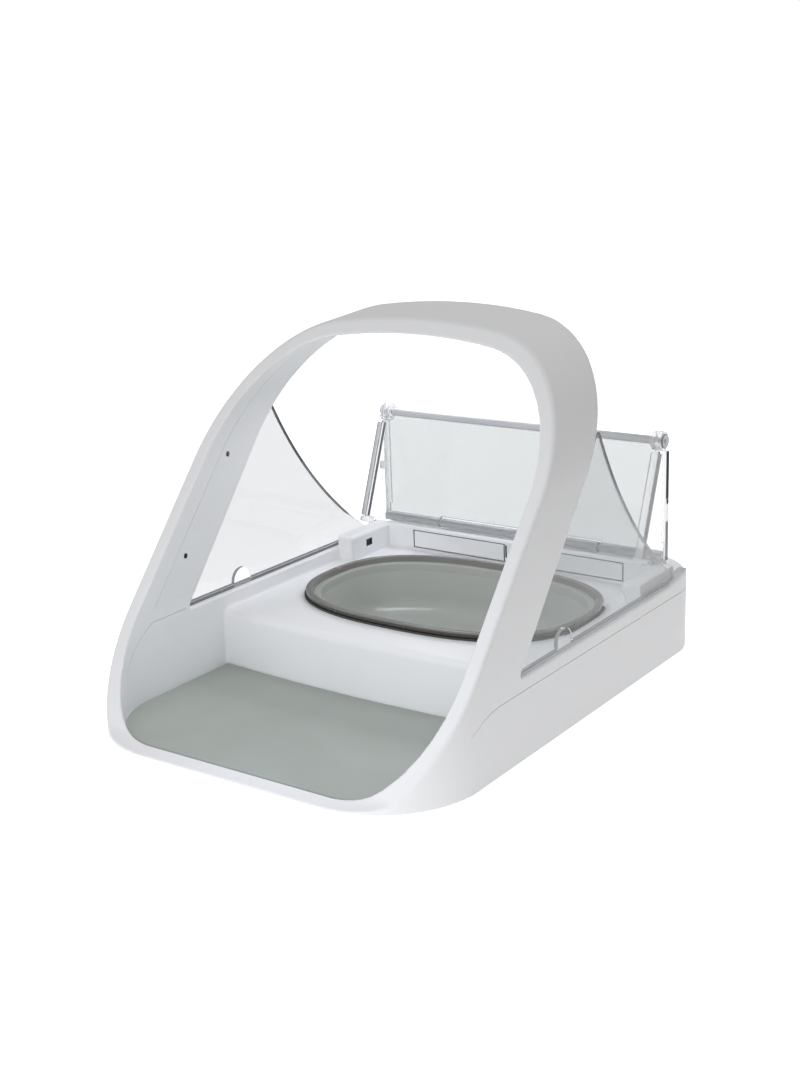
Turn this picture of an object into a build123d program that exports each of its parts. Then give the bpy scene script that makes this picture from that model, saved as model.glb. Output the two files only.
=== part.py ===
from build123d import *
import math
import os

# Microchip pet feeder, millimetres, +Z up, front towards -Y, X to the viewer's right.
# While it is built, Y runs from the front edge (0) to the back (LENGTH); every
# piece is moved by -LENGTH/2 on export, so the origin is at the bottom centre.

# ---------------------------------------------------------------- driving sizes
LENGTH = 320.0            # front lip to back wall
HALF_W = 116.5            # half the overall width
FRONT_R = 56.5            # front corners in plan
REAR_R = 38.0             # back corners in plan
FLOOR_Z = 1.2             # underside of the housing; the feet stand below it
SEAM_Z = 39.3             # parting line between lower and upper housing
RIM_Z = 47.0              # side rims
DECK_Z = 38.0             # deck around the bowl
WALL = 2.4                # moulded wall
RING_T = 8.5              # thickness of the arch, front view
STEP_Y = 126.0            # step wall between mat and deck
REAR_WALL_Y = 283.0       # wall behind the bowl
LEDGE_Z = 54.5            # ledge that carries the lid hinge
BACK_TOP_Z = 50.5         # top of the housing behind the hinge

CROWN_Z = 211.5           # arch crown at its front edge
CROWN_Y = 184.0
RISE = 0.07               # the crown climbs this much per mm to the back
CORNER_R = 72.0           # arch shoulders, front view
CROWN_R = 430.0           # arch top, front view
FRONT_LEAN = 0.84         # front face: y = FRONT_Y0 + FRONT_LEAN * z
FRONT_Y0 = 6.0
BACK_LEAN = 0.80          # back edge of the arch: y = BACK_Y0 + BACK_LEAN * z
BACK_Y0 = 58.0

HINGE_Y, HINGE_Z = 288.2, 58.1     # lid rear hinge axis
FOLD_Z = 129.5                     # fold between the two lid panels, above the hinge
FOOT_Y, FOOT_Z = 262.4, 62.2       # free edge of the front panel
PANEL_HALF = 101.5
PANEL_NEAR, PANEL_FAR = 0.4, 2.6   # panel faces, off the plane through its axes
BARREL_R = 3.2                     # hinge barrels
PIN_R = 1.5                        # hinge pins
KNOB_R = 6.0                       # round ends of the fold
FIT = 0.09                         # running clearance on a pin, radial

BOWL_Y = 209.5            # bowl centre
BOWL_A, BOWL_B = 92.0, 63.0
BOWL_RIM_Z = 42.6

GEAR_X0, GEAR_X1 = 8.0, 13.0       # lid gear
GEAR_MODULE = 0.6
GEAR_TEETH = 22
PINION_TEETH = 16
PINION_ANGLE = -80.0               # direction from the hinge to the pinion, from +Y
GEAR_GAP = 0.18                    # extra centre distance, for backlash

OUT = {}


# ---------------------------------------------------------------- small helpers
def box(x0, y0, z0, x1, y1, z1):
    return Pos((x0 + x1) / 2, (y0 + y1) / 2, (z0 + z1) / 2) * Box(
        abs(x1 - x0), abs(y1 - y0), abs(z1 - z0)
    )


def cyl_x(r, x0, x1, y, z, turn=0.0):
    """Cylinder along X; turn sets where its seam lies, away from its bore's seam."""
    return Pos((x0 + x1) / 2, y, z) * Rot(turn, 0, 0) * Rot(0, 90, 0) * Cylinder(r, abs(x1 - x0))


def cyl_y(r, y0, y1, x, z):
    return Pos(x, (y0 + y1) / 2, z) * Rot(90, 0, 0) * Cylinder(r, abs(y1 - y0))


def cyl_z(r, z0, z1, x, y):
    return Pos(x, y, (z0 + z1) / 2) * Cylinder(r, abs(z1 - z0))


def side_prism(points, x0, x1):
    """Extrudes a closed outline given as (y, z) points along X."""
    face = Face(Wire.make_polygon([Vector(x0, y, z) for y, z in points], close=True))
    return Solid.extrude(face, Vector(x1 - x0, 0, 0))


def side_face_fillet(points, radii, x0, x1):
    """As side_prism, with a fillet radius at each corner (0 keeps it sharp)."""
    wire = Wire.make_polygon([Vector(x0, y, z) for y, z in points], close=True)
    face = Face(wire)
    for (y, z), r in zip(points, radii):
        if r:
            v = [
                u
                for u in face.vertices()
                if abs(u.Y - y) < 1e-4 and abs(u.Z - z) < 1e-4
            ]
            face = face.fillet_2d(r, v)
    return Solid.extrude(face, Vector(x1 - x0, 0, 0))


def plan_prism(d, z0, z1, front=0.0, back=0.0):
    """The plan outline, offset inwards by d, from z0 to z1."""
    w = HALF_W - d
    y0, y1 = d + front, LENGTH - d - back
    rf, rr = FRONT_R - d, REAR_R - d
    k = math.sqrt(0.5)
    with BuildSketch(Plane.XY.offset(z0)) as sk:
        with BuildLine():
            Line((-w + rf, y0), (w - rf, y0))
            ThreePointArc(
                (w - rf, y0), (w - rf + rf * k, y0 + rf - rf * k), (w, y0 + rf)
            )
            Line((w, y0 + rf), (w, y1 - rr))
            ThreePointArc(
                (w, y1 - rr), (w - rr + rr * k, y1 - rr + rr * k), (w - rr, y1)
            )
            Line((w - rr, y1), (-w + rr, y1))
            ThreePointArc(
                (-w + rr, y1), (-w + rr - rr * k, y1 - rr + rr * k), (-w, y1 - rr)
            )
            Line((-w, y1 - rr), (-w, y0 + rf))
            ThreePointArc(
                (-w, y0 + rf), (-w + rf - rf * k, y0 + rf - rf * k), (-w + rf, y0)
            )
        make_face()
    return Solid.extrude(sk.sketch.faces()[0], Vector(0, 0, z1 - z0))


def arch_prism(d, z_bottom=-40.0):
    """The arch's front-view outline, offset inwards by d, run from front to back."""
    w = HALF_W - d
    cx = HALF_W - CORNER_R
    zc0 = CROWN_Z - CROWN_R
    cz = zc0 + math.sqrt((CROWN_R - CORNER_R) ** 2 - cx**2)
    ang = math.atan2(cz - zc0, cx)
    r, big = CORNER_R - d, CROWN_R - d
    drop = -RISE * CROWN_Y
    tx, tz = big * math.cos(ang), zc0 + big * math.sin(ang)
    mx, mz = cx + r * math.cos(ang / 2), cz + r * math.sin(ang / 2)

    def p(x, z):
        return Vector(x, 0, z + drop)

    edges = [
        Edge.make_line(p(-w, z_bottom), p(-w, cz)),
        Edge.make_three_point_arc(p(-w, cz), p(-mx, mz), p(-tx, tz)),
        Edge.make_three_point_arc(p(-tx, tz), p(0, zc0 + big), p(tx, tz)),
        Edge.make_three_point_arc(p(tx, tz), p(mx, mz), p(w, cz)),
        Edge.make_line(p(w, cz), p(w, z_bottom)),
        Edge.make_line(p(w, z_bottom), p(-w, z_bottom)),
    ]
    return Solid.extrude(Face(Wire(edges)), Vector(0, LENGTH, LENGTH * RISE))


def front_y(z, d=0.0):
    return FRONT_Y0 + FRONT_LEAN * z + d


def back_y(z, d=0.0):
    return BACK_Y0 + BACK_LEAN * z + d


def slab(df, db, z0, z1=240.0):
    """The leaning slab of the arch: df behind its front face, db before its back."""
    return side_prism(
        [
            (front_y(z0, df), z0),
            (front_y(z1, df), z1),
            (back_y(z1, -db), z1),
            (back_y(z0, -db), z0),
        ],
        -130,
        130,
    )


def both(shape):
    """The shape and its mirror image across the YZ plane."""
    return [shape, mirror(shape, about=Plane.YZ)]


def put(name, *shapes):
    solids = []
    for s in shapes:
        if isinstance(s, (list, tuple)):
            for t in s:
                solids += list(t.solids())
        else:
            solids += list(s.solids())
    OUT[name] = solids


def fuse(*shapes):
    out = shapes[0]
    for s in shapes[1:]:
        out = out + s
    return out


def superellipse(a, b, cy, z, n=2.6, count=40):
    pts = []
    for i in range(count):
        t = 2 * math.pi * i / count
        c, s = math.cos(t), math.sin(t)
        x = a * math.copysign(abs(c) ** (2 / n), c)
        y = b * math.copysign(abs(s) ** (2 / n), s)
        pts.append(Vector(x, cy + y, z))
    return Wire([Edge.make_spline(pts, periodic=True)])


def oval_loft(sections):
    """Loft through ovals about the bowl's centre, each inset (in x, in y) from the rim, lowest first."""
    return Solid.make_loft([superellipse(BOWL_A - a, BOWL_B - b, BOWL_Y, z) for a, b, z in sections], True)


def gear(teeth, module, thin, x0, x1, y, z, turn=0.0, bore=0.0):
    """Straight-toothed spur gear along X; thin is the tooth's share of the pitch."""
    rp = teeth * module / 2
    ra, rf = rp + module * 0.9, rp - module * 1.15
    pts = []
    for i in range(teeth):
        c = turn + 2 * math.pi * i / teeth
        half = math.pi / teeth * thin
        for rad, ang in (
            (rf, c - half * 1.55),
            (rp, c - half),
            (ra, c - half * 0.5),
            (ra, c + half * 0.5),
            (rp, c + half),
            (rf, c + half * 1.55),
        ):
            pts.append(Vector(x0, y + rad * math.cos(ang), z + rad * math.sin(ang)))
    face = Face(Wire.make_polygon(pts, close=True))
    body = Solid.extrude(face, Vector(x1 - x0, 0, 0))
    if bore:
        body = body - cyl_x(bore, x0 - 1, x1 + 1, y, z)
    return body


# ---------------------------------------------------------------- outer mass
# Side view: lip, leaning front, crown, back edge of the arch, rim, back.
side_pts = [
    (0.0, FLOOR_Z),
    (0.0, 2.6),
    (9.6, 4.4),
    (front_y(236), 236),
    (back_y(236), 236),
    (back_y(RIM_Z), RIM_Z),
    (266.0, RIM_Z),
    (288.0, BACK_TOP_Z),
    (LENGTH, BACK_TOP_Z),
    (LENGTH, FLOOR_Z),
]
side_r = [0, 0, 12, 0, 0, 4, 20, 20, 9, 0]
side = side_face_fillet(side_pts, side_r, -130, 130)
outer = side & arch_prism(0) & plan_prism(0, FLOOR_Z, 240)

# Everything inside the ring: tray, tunnel and the room above the deck.
inner_plan = plan_prism(RING_T, 2.8, 240) & arch_prism(RING_T)
deck_bulge = 7.0   # the step wall swells forward in front of the bowl


def step_zone(y_edge, z_top, x_half=125.0):
    """The block behind the step wall, its front face bowed forward."""
    bul = deck_bulge
    e = [
        Edge.make_three_point_arc(
            Vector(-x_half, y_edge, -5), Vector(0, y_edge - bul, -5), Vector(x_half, y_edge, -5)
        ),
        Edge.make_line(Vector(x_half, y_edge, -5), Vector(x_half, 330, -5)),
        Edge.make_line(Vector(x_half, 330, -5), Vector(-x_half, 330, -5)),
        Edge.make_line(Vector(-x_half, 330, -5), Vector(-x_half, y_edge, -5)),
    ]
    return Solid.extrude(Face(Wire(e)), Vector(0, 0, z_top + 5))


deck_block = step_zone(STEP_Y + 1.2, DECK_Z)
inside = inner_plan - deck_block - box(-130, REAR_WALL_Y, -5, 130, 330, 240)

# Parting line: level along the sides, then curving down towards the front corners.
SEAM_R, SEAM_YC, SEAM_Y0 = 55.0, 79.0, 44.0
seam_c = SEAM_Z - SEAM_R
seam_z0 = seam_c + math.sqrt(SEAM_R**2 - (SEAM_YC - SEAM_Y0) ** 2)
seam_mid = (SEAM_YC + SEAM_Y0) / 2
lower_zone = Solid.extrude(
    Face(
        Wire(
            [
                Edge.make_line(Vector(-130, SEAM_Y0, -5), Vector(-130, SEAM_Y0, seam_z0)),
                Edge.make_three_point_arc(
                    Vector(-130, SEAM_Y0, seam_z0),
                    Vector(-130, seam_mid, seam_c + math.sqrt(SEAM_R**2 - (SEAM_YC - seam_mid) ** 2)),
                    Vector(-130, SEAM_YC, SEAM_Z),
                ),
                Edge.make_line(Vector(-130, SEAM_YC, SEAM_Z), Vector(-130, 330, SEAM_Z)),
                Edge.make_line(Vector(-130, 330, SEAM_Z), Vector(-130, 330, -5)),
                Edge.make_line(Vector(-130, 330, -5), Vector(-130, SEAM_Y0, -5)),
            ]
        )
    ),
    Vector(260, 0, 0),
)
core = plan_prism(WALL, FLOOR_Z + WALL, 100)
tray_block = box(-HALF_W + RING_T - WALL, -5, -5, HALF_W - RING_T + WALL, 60, 60) + (
    box(-HALF_W + RING_T - WALL, 55, -5, HALF_W - RING_T + WALL, 320, 60)
    - step_zone(STEP_Y + 1.2 + WALL, 80)
)

# ---------------------------------------------------------------- lower housing
lower = (outer & lower_zone) - core - tray_block
low_edges = [
    e
    for e in lower.edges()
    if abs(e.center().Z - FLOOR_Z) < 0.01
    and (abs(e.center().X) > HALF_W - 30 or e.center().Y > 300)
    and e.length > 20
    and (
        abs(abs(e.center().X) - HALF_W) < 0.5
        or e.center().Y > 318
        or (e.center().Y > 290 and abs(e.center().X) > 90 and e.length > 55)
    )
]
try:
    lower = lower.fillet(2.2, low_edges)
except Exception as err:
    print("lower fillet skipped:", err)

# Battery bays: two openings in the floor, each in a recess for its sliding door.
BAY_X0, BAY_X1 = 4.0, 104.0
BAY_Y0, BAY_Y1 = 268.0, 296.0
DOOR_SLIDE = 8.0
DOOR_T = 1.4
for sx in (-1, 1):
    lower = lower - box(
        sx * BAY_X0, BAY_Y0 - DOOR_SLIDE - 1.0, -1, sx * BAY_X1, BAY_Y1, FLOOR_Z + 1.5
    )
    lower = lower - box(sx * (BAY_X0 + 2.5), BAY_Y0 + 2.5, -1, sx * (BAY_X1 - 2.5), BAY_Y1 - 2.5, 10)
# Screw bosses standing on the floor.
SCREWS = [(-104, 140), (104, 140), (-104, 246), (104, 246), (-68, 310), (68, 310)]
for x, y in SCREWS:
    lower = lower + cyl_z(4.2, 2.0, 33.0, x, y)
    lower = lower - cyl_z(1.35, -2, 34, x, y) - cyl_z(3.1, -2, 3.4, x, y)
# Feet recesses, button holes and the indicator bore.
REAR_FEET = [(-88, 307), (88, 307)]
FRONT_FEET = [(-84, 66), (84, 66)]
BUTTONS = [("add_pet_button", -32.0), ("open_close_button", 0.0), ("training_button", 32.0)]
BUTTON_Z, BUTTON_R = 22.0, 6.0
for x, y in REAR_FEET:
    lower = lower - cyl_z(7.0, -2, FLOOR_Z + 0.8, x, y)
for _, x in BUTTONS:
    lower = lower - cyl_y(BUTTON_R + 0.3, 310, 330, x, BUTTON_Z)
lower = lower - cyl_y(1.55, 310, 330, 16.0, 31.0)
print("lower solids", [round(v.volume) for v in lower.solids()])
put("lower_housing", lower)

# ---------------------------------------------------------------- upper housing
ledge = side_face_fillet(
    [(REAR_WALL_Y, 36), (REAR_WALL_Y, LEDGE_Z), (296.5, LEDGE_Z), (300.0, 46.0), (300, 36)],
    [0, 2.5, 3, 0, 0],
    -100,
    100,
)
blocks = []
for sx in (-1, 1):
    b = side_face_fillet(
        [(238.0, 36), (239.0, LEDGE_Z), (REAR_WALL_Y + 4, LEDGE_Z), (REAR_WALL_Y + 4, 36)],
        [0, 3, 0, 0],
        97.5 if sx > 0 else -109.0,
        109.0 if sx > 0 else -97.5,
    )
    blocks.append(b)
upper_all = outer - inside
upper_all = fuse(upper_all, ledge, *blocks)
wall_zone = lower_zone - core - tray_block
upper = upper_all - wall_zone
upper = upper & box(-130, -5, -5, 130, 330, RIM_Z + 20) - (
    slab(-60, -60, RIM_Z, 90) & box(-130, 0, RIM_Z, 130, 175, 90)
)
print("upper solids after cuts", len(upper.solids()))
# Hollows under the deck, under the ledge and in the side blocks.
under = step_zone(STEP_Y + 1.2 + WALL, DECK_Z - WALL) & plan_prism(WALL, -5, 60)
upper = upper - under
upper = upper - (
    plan_prism(WALL, -5, BACK_TOP_Z - WALL)
    & box(-130, REAR_WALL_Y + WALL, -5, 130, 330, 60)
)
upper = upper - box(-97.6, REAR_WALL_Y + WALL, 30, 97.6, 294.0, LEDGE_Z - WALL)
for sx in (-1, 1):
    upper = upper - box(sx * 99.5, 241.5, 30, sx * 107.0, 280.6, LEDGE_Z - WALL)
# Shallow window in the inner face of each side block, by the lid's foot.
for sx in (-1, 1):
    upper = upper - box(sx * 97.4, 256.5, 43.5, sx * 98.8, 263.0, 50.5)
# Room beside the tray walls, closed at the top by the rim.
for sx in (-1, 1):
    upper = upper - box(
        sx * (HALF_W - RING_T + WALL), 62, -5, sx * (HALF_W - WALL), 140, RIM_Z - WALL
    )
# Bowl opening with a seat for its flange.
bowl_hole = Solid.extrude(Face(superellipse(BOWL_A - 4.5, BOWL_B - 4.5, BOWL_Y, 30)), Vector(0, 0, 20))
upper = upper - bowl_hole
# Slot over the lid gear, a pocket for the pinion, and the windows the hatches close.
upper = upper - box(GEAR_X0 - 1.2, 280.0, 51.4, GEAR_X1 + 1.2, 296.0, 70)
upper = upper - box(GEAR_X0 - 1.2, 284.2, 30, GEAR_X1 + 1.2, 295.9, 53)
for x0, x1 in ((-72, -11.8), (21.6, 72)):
    upper = upper - box(x0, REAR_WALL_Y - 1, 43.4, x1, REAR_WALL_Y + 4, 49.0)
upper = upper - box(-6.7, REAR_WALL_Y - 1, 43.2, -5.5, REAR_WALL_Y + 4, 51.3)
# Screw posts under the deck and at the back.
for x, y in SCREWS:
    top = DECK_Z - 1.0 if y < 300 else 48.8
    upper = upper + cyl_z(4.2, 33.0, top, x, y)
    upper = upper - cyl_z(1.23, 30, top - 1.0 if y < 300 else 44, x, y)
for x, y in FRONT_FEET:
    upper = upper - cyl_z(7.0, -2, FLOOR_Z + 0.8, x, y)
print("upper solids", len(upper.solids()), [round(s.volume) for s in upper.solids()])
put("upper_housing", max(upper.solids(), key=lambda s: s.volume))

# ---------------------------------------------------------------- arch
ring = (outer - inside) & box(-130, -5, RIM_Z, 130, 175 + 90, 260)
ring = ring & slab(-5, -40, RIM_Z - 1)
ring = ring - box(-130, 262, RIM_Z - 5, 130, 330, 80)
cav = (arch_prism(2.2) - arch_prism(6.3)) & slab(2.6, 2.6, RIM_Z - 3)
cover = (arch_prism(6.3) - arch_prism(RING_T)) & slab(15.0, 0.0, RIM_Z + 1.6)
arch = ring - cav - cover
print("arch solids", [round(s.volume) for s in arch.solids()])
arch_main = max(arch.solids(), key=lambda s: s.volume)
put("arch_shell", arch_main)
print("cover solids", [round(s.volume) for s in cover.solids()])

# Infrared sensors: bores in the inner cover, with a black sensor in each.
SENSORS = [(138.1, 131.0), (96.3, 79.2)]
holes, sensors = [], []
for y, z in SENSORS:
    for sx in (-1, 1):
        x0, x1 = sx * (HALF_W - RING_T), sx * (HALF_W - 2.6)
        cover = cover - cyl_x(1.6, sx * 105, sx * 112, y, z)
        sensors.append(cyl_x(1.5, sx * (HALF_W - RING_T + 0.3), sx * (HALF_W - 5.4), y, z))
put("arch_inner_cover", cover)
put("proximity_sensors", sensors)

# Antenna winding: a flat band of wire inside the arch.
coil = (arch_prism(2.9) - arch_prism(4.9)) & slab(20.0, 16.0, RIM_Z + 0.5)
put("antenna_coil", coil)

# ---------------------------------------------------------------- mat and bowl
mat = plan_prism(RING_T + 1.3, 2.8, 4.4) - step_zone(STEP_Y + 0.4, 20)
put("mat", mat)

SEAL_T = 1.2
seal = Solid.extrude(
    Face(superellipse(BOWL_A + 0.8, BOWL_B + 0.8, BOWL_Y, DECK_Z)), Vector(0, 0, SEAL_T)
) - Solid.extrude(
    Face(superellipse(BOWL_A - 4.5, BOWL_B - 4.5, BOWL_Y, DECK_Z - 1)), Vector(0, 0, 4)
)
put("bowl_seal", seal)

skin = 2.2
bowl_out = oval_loft([(30.5, 27.5, 9.5), (20.0, 18.0, 14), (13.0, 12.0, 24), (8.0, 7.5, 38.8)])
flange = Solid.extrude(
    Face(superellipse(BOWL_A, BOWL_B, BOWL_Y, DECK_Z + SEAL_T)),
    Vector(0, 0, BOWL_RIM_Z - DECK_Z - SEAL_T),
)
neck = Solid.extrude(Face(superellipse(BOWL_A - 8.0, BOWL_B - 7.5, BOWL_Y, 38.7)), Vector(0, 0, 2.0))
bowl_in = oval_loft([(32.5, 29.5, 11.7), (22.3, 20.3, 16), (15.3, 14.3, 25), (10.1, 9.7, 38.8)])
mouth = oval_loft([(10.1, 9.7, 38.7), (5.5, 5.3, BOWL_RIM_Z + 0.1)])
bowl = fuse(bowl_out, neck, flange) - bowl_in - mouth
put("bowl", bowl)

# ---------------------------------------------------------------- lid, rear panel
rp = []
plate = box(
    -PANEL_HALF, HINGE_Y + PANEL_NEAR, HINGE_Z + 3.9, PANEL_HALF, HINGE_Y + PANEL_FAR, FOLD_Z - 1.9
)
rear_panel = plate
for sx in (-1, 1):
    # outer hinge barrels with a web up into the plate
    rear_panel = rear_panel + cyl_x(BARREL_R, sx * 59.0, sx * PANEL_HALF, HINGE_Y, HINGE_Z)
    rear_panel = rear_panel + box(
        sx * 59.0, HINGE_Y + PANEL_NEAR, HINGE_Z, sx * PANEL_HALF, HINGE_Y + PANEL_FAR, HINGE_Z + 6
    )
    # fold knuckles
    rear_panel = rear_panel + cyl_x(KNOB_R, sx * 98.6, sx * PANEL_HALF, HINGE_Y, FOLD_Z)
    # stiffening edge and side lug
    rear_panel = rear_panel + box(
        sx * 99.6, HINGE_Y + PANEL_FAR - 0.2, HINGE_Z + 8, sx * PANEL_HALF, HINGE_Y + 4.2, FOLD_Z - 6
    )
    rear_panel = rear_panel + box(
        sx * (PANEL_HALF - 0.5), HINGE_Y + 0.6, 90.5, sx * (PANEL_HALF + 2.0), HINGE_Y + 3.2, 94.0
    )
for sx in (-1, 1):
    rear_panel = rear_panel - cyl_x(PIN_R + 0.02, sx * 50, sx * 110, HINGE_Y, HINGE_Z)
    rear_panel = rear_panel - cyl_x(PIN_R + 0.02, sx * 90, sx * 110, HINGE_Y, FOLD_Z)
# room for the lid gear and for the front panel's knuckles
rear_panel = rear_panel - box(
    GEAR_X0 - 1.4, HINGE_Y - 2, HINGE_Z, GEAR_X1 + 1.4, HINGE_Y + 5, HINGE_Z + 8.4
)
for sx in (-1, 1):
    rear_panel = rear_panel - cyl_x(KNOB_R + 0.1, sx * 94.8, sx * 98.4, HINGE_Y, FOLD_Z)
put("lid_rear_panel", rear_panel)
put("rear_hinge_pin", cyl_x(PIN_R, -PANEL_HALF + 0.5, PANEL_HALF - 0.5, HINGE_Y, HINGE_Z, 40))
put("fold_strip", cyl_x(2.5, -94.4, 94.4, HINGE_Y, FOLD_Z) - box(
    -100, HINGE_Y + PANEL_NEAR, FOLD_Z - 5, 100, HINGE_Y + PANEL_FAR, FOLD_Z - 1.9
))
put("fold_pins", [
    cyl_x(PIN_R, sx * 95.0, sx * PANEL_HALF, HINGE_Y, FOLD_Z, 100)
    + cyl_x(4.2, sx * PANEL_HALF, sx * (PANEL_HALF + 1.4), HINGE_Y, FOLD_Z)
    for sx in (-1, 1)
])

# Fixed barrels of the rear hinge, on the ledge, either side of the lid gear.
bracket = []
for x0, x1 in ((-57.4, GEAR_X0 - 1.6), (GEAR_X1 + 1.6, 57.4)):
    b = cyl_x(BARREL_R, x0, x1, HINGE_Y, HINGE_Z) + box(
        x0, HINGE_Y - 2.2, LEDGE_Z, x1, HINGE_Y + 2.2, HINGE_Z - 1.0
    )
    bracket.append(b - cyl_x(PIN_R + FIT, x0 - 1, x1 + 1, HINGE_Y, HINGE_Z))
put("hinge_barrels", bracket)

# ---------------------------------------------------------------- lid, front panel
# Built hanging straight down from the fold, then swung forward to its place.
drop = math.hypot(HINGE_Y - FOOT_Y, FOLD_Z - FOOT_Z)
swing = math.degrees(math.atan2(HINGE_Y - FOOT_Y, FOLD_Z - FOOT_Z))
fp = box(-98.2, -PANEL_FAR, -(drop - 1.2), 98.2, -PANEL_NEAR, -2.9)
for sx in (-1, 1):
    fp = fp + box(sx * 98.0, -PANEL_FAR, -(drop - 1.2), sx * 100.6, -PANEL_NEAR, -6.6)
    fp = fp + box(sx * 98.6, -5.0, -(drop - 2.0), sx * 100.6, -PANEL_NEAR, -8.0)
    fp = fp + cyl_x(KNOB_R - 0.5, sx * 95.2, sx * 98.2, 0, 0)
for sx in (-1, 1):
    fp = fp - cyl_x(PIN_R + FIT, sx * 90, sx * 99, 0, 0)
fold_place = Pos(0, HINGE_Y, FOLD_Z) * Rot(-swing, 0, 0)
put("lid_front_panel", fold_place * fp)
feet_l = []
for sx in (-1, 1):
    f = box(sx * 95.5, -3.4, -(drop + 2.6), sx * 101.6, 1.2, -(drop - 1.2))
    f = f + cyl_x(1.7, sx * 101.0, sx * 104.2, -1.1, -(drop + 0.6))
    feet_l.append(fold_place * f)
put("lid_feet", feet_l)
print("front panel length", drop, "swing", swing)

# ---------------------------------------------------------------- lid drive
gear_dist = GEAR_MODULE * (GEAR_TEETH + PINION_TEETH) / 2 + GEAR_GAP
pa = math.radians(PINION_ANGLE)
PIN_Y, PIN_Z = HINGE_Y + gear_dist * math.cos(pa), HINGE_Z + gear_dist * math.sin(pa)
lid_gear = gear(GEAR_TEETH, GEAR_MODULE, 0.42, GEAR_X0, GEAR_X1, HINGE_Y, HINGE_Z,
                turn=pa, bore=PIN_R + 0.02)
put("lid_gear", lid_gear)
pinion = gear(PINION_TEETH, GEAR_MODULE, 0.42, GEAR_X0 - 0.3, GEAR_X1 + 0.3, PIN_Y, PIN_Z,
              turn=pa + math.pi + math.pi / PINION_TEETH)
pinion = pinion + cyl_x(1.2, GEAR_X0 - 0.3, 24.0, PIN_Y, PIN_Z, 90)
put("drive_pinion", pinion)
gearbox = box(16.2, 286.2, 38.0, 36.0, 293.6, 51.6) + box(16.2, 286.2, 33.0, 36.0, 309.0, 47.4)
gearbox = gearbox - cyl_x(1.2 + FIT, 15, 24.5, PIN_Y, PIN_Z)
put("gearbox", gearbox)
put("drive_motor", cyl_x(7.6, 36.0, 58.0, 301.0, 39.9) + cyl_x(2.5, 58.0, 59.5, 301.0, 39.9))

# ---------------------------------------------------------------- side guards
guards = []
for sx in (-1, 1):
    curve = Edge.make_three_point_arc(
        Vector(0, 281.0, 48.0), Vector(0, 224.0, 97.0), Vector(0, back_y(156.0) + 1.0, 156.0)
    )
    a0, b0 = curve.position_at(0), curve.position_at(1)
    p1, p2 = Vector(0, 80.0, 48.0), Vector(0, back_y(156.0) - 20, 156.0)
    if (a0 - Vector(0, 281.0, 48.0)).length > 1e-3:
        a0, b0 = b0, a0
    w = Wire([
        curve,
        Edge.make_line(b0, p2),
        Edge.make_line(p2, p1),
        Edge.make_line(p1, a0),
    ])
    face = Face(w)
    x0 = sx * 112.6
    plate = Solid.extrude(Pos(x0, 0, 0) * face, Vector(sx * 2.0, 0, 0))
    rail = box(sx * 111.0, 80.0, RIM_Z, sx * 115.5, 272.0, RIM_Z + 1.8)
    tail = side_prism(
        [(272.0, RIM_Z), (272.0, RIM_Z + 1.8), (288.0, BACK_TOP_Z + 1.6), (292, BACK_TOP_Z + 1.6), (292, RIM_Z)],
        sx * 111.0,
        sx * 114.6,
    )
    stop = (cyl_x(8.0, sx * 110.4, sx * 112.7, 147.0, 50.2)) & box(
        sx * 100, 120, RIM_Z, sx * 120, 170, 80
    )
    guard = fuse(plate, rail, tail, stop) - outer
    guard = max(guard.solids(), key=lambda v: v.volume)
    guards.append(guard)
put("side_guard_left", guards[0])
put("side_guard_right", guards[1])

# ---------------------------------------------------------------- rear wall hatches
for name, x0, x1 in (("hatch_left", -76.5, -7.2), ("hatch_right", 17.0, 76.5)):
    h = box(x0, REAR_WALL_Y - 0.9, 40.9, x1, REAR_WALL_Y, 51.6)
    h = h + box(x0 + 4.8, REAR_WALL_Y - 0.1, 43.7, x1 - 4.8, REAR_WALL_Y + 1.6, 48.7)
    put(name, h)

# ---------------------------------------------------------------- electronics
board = box(-52, 309.8, 6.0, 52, 311.4, 31.0)
put("main_board", board - cyl_y(1.0, 300, 320, -48, 28) - cyl_y(1.0, 300, 320, 48, 28))
put("tact_switches", [
    box(x - 3, 311.4, BUTTON_Z - 3, x + 3, 313.2, BUTTON_Z + 3)
    + cyl_y(1.7, 313.0, 313.9, x, BUTTON_Z)
    for _, x in BUTTONS
])
put("indicator_lens", cyl_y(1.5, 312.0, 319.9, 16.0, 31.0) - box(10, 300, 33.5, 20, 311.5, 20))
for name, x in BUTTONS:
    put(name, cyl_y(BUTTON_R, 315.6, 319.8, x, BUTTON_Z) + cyl_y(7.4, 315.0, 317.3, x, BUTTON_Z))

CELL_R, CELL_Z, CELL_Y = 13.1, 16.95, 282.0
cells = []
for sx in (-1, 1):
    for k in (0, 1):
        x0 = sx * (3.6 + 50.0 * k)
        cells.append(
            cyl_x(CELL_R, x0, x0 + sx * 48.3, CELL_Y, CELL_Z)
            + cyl_x(3.3, x0 + sx * 48.3, x0 + sx * 49.8, CELL_Y, CELL_Z)
        )
put("battery_cells", cells)
put("battery_contacts", [
    box(sx * x0, CELL_Y - 6, CELL_Z - 8, sx * (x0 + 0.6), CELL_Y + 6, CELL_Z + 8)
    for sx in (-1, 1)
    for x0 in (2.8, 103.6)
])
for name, sx in (("battery_door_left", -1), ("battery_door_right", 1)):
    d = box(
        sx * (BAY_X0 + 0.4), BAY_Y0 - 0.4, FLOOR_Z, sx * (BAY_X1 - 0.4), BAY_Y1 - 0.4, FLOOR_Z + DOOR_T
    )
    for k in range(3):
        d = d - box(sx * 46, BAY_Y0 + 3 + 2.2 * k, 0, sx * 62, BAY_Y0 + 4 + 2.2 * k, FLOOR_Z + 0.5)
    put(name, d)

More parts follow.
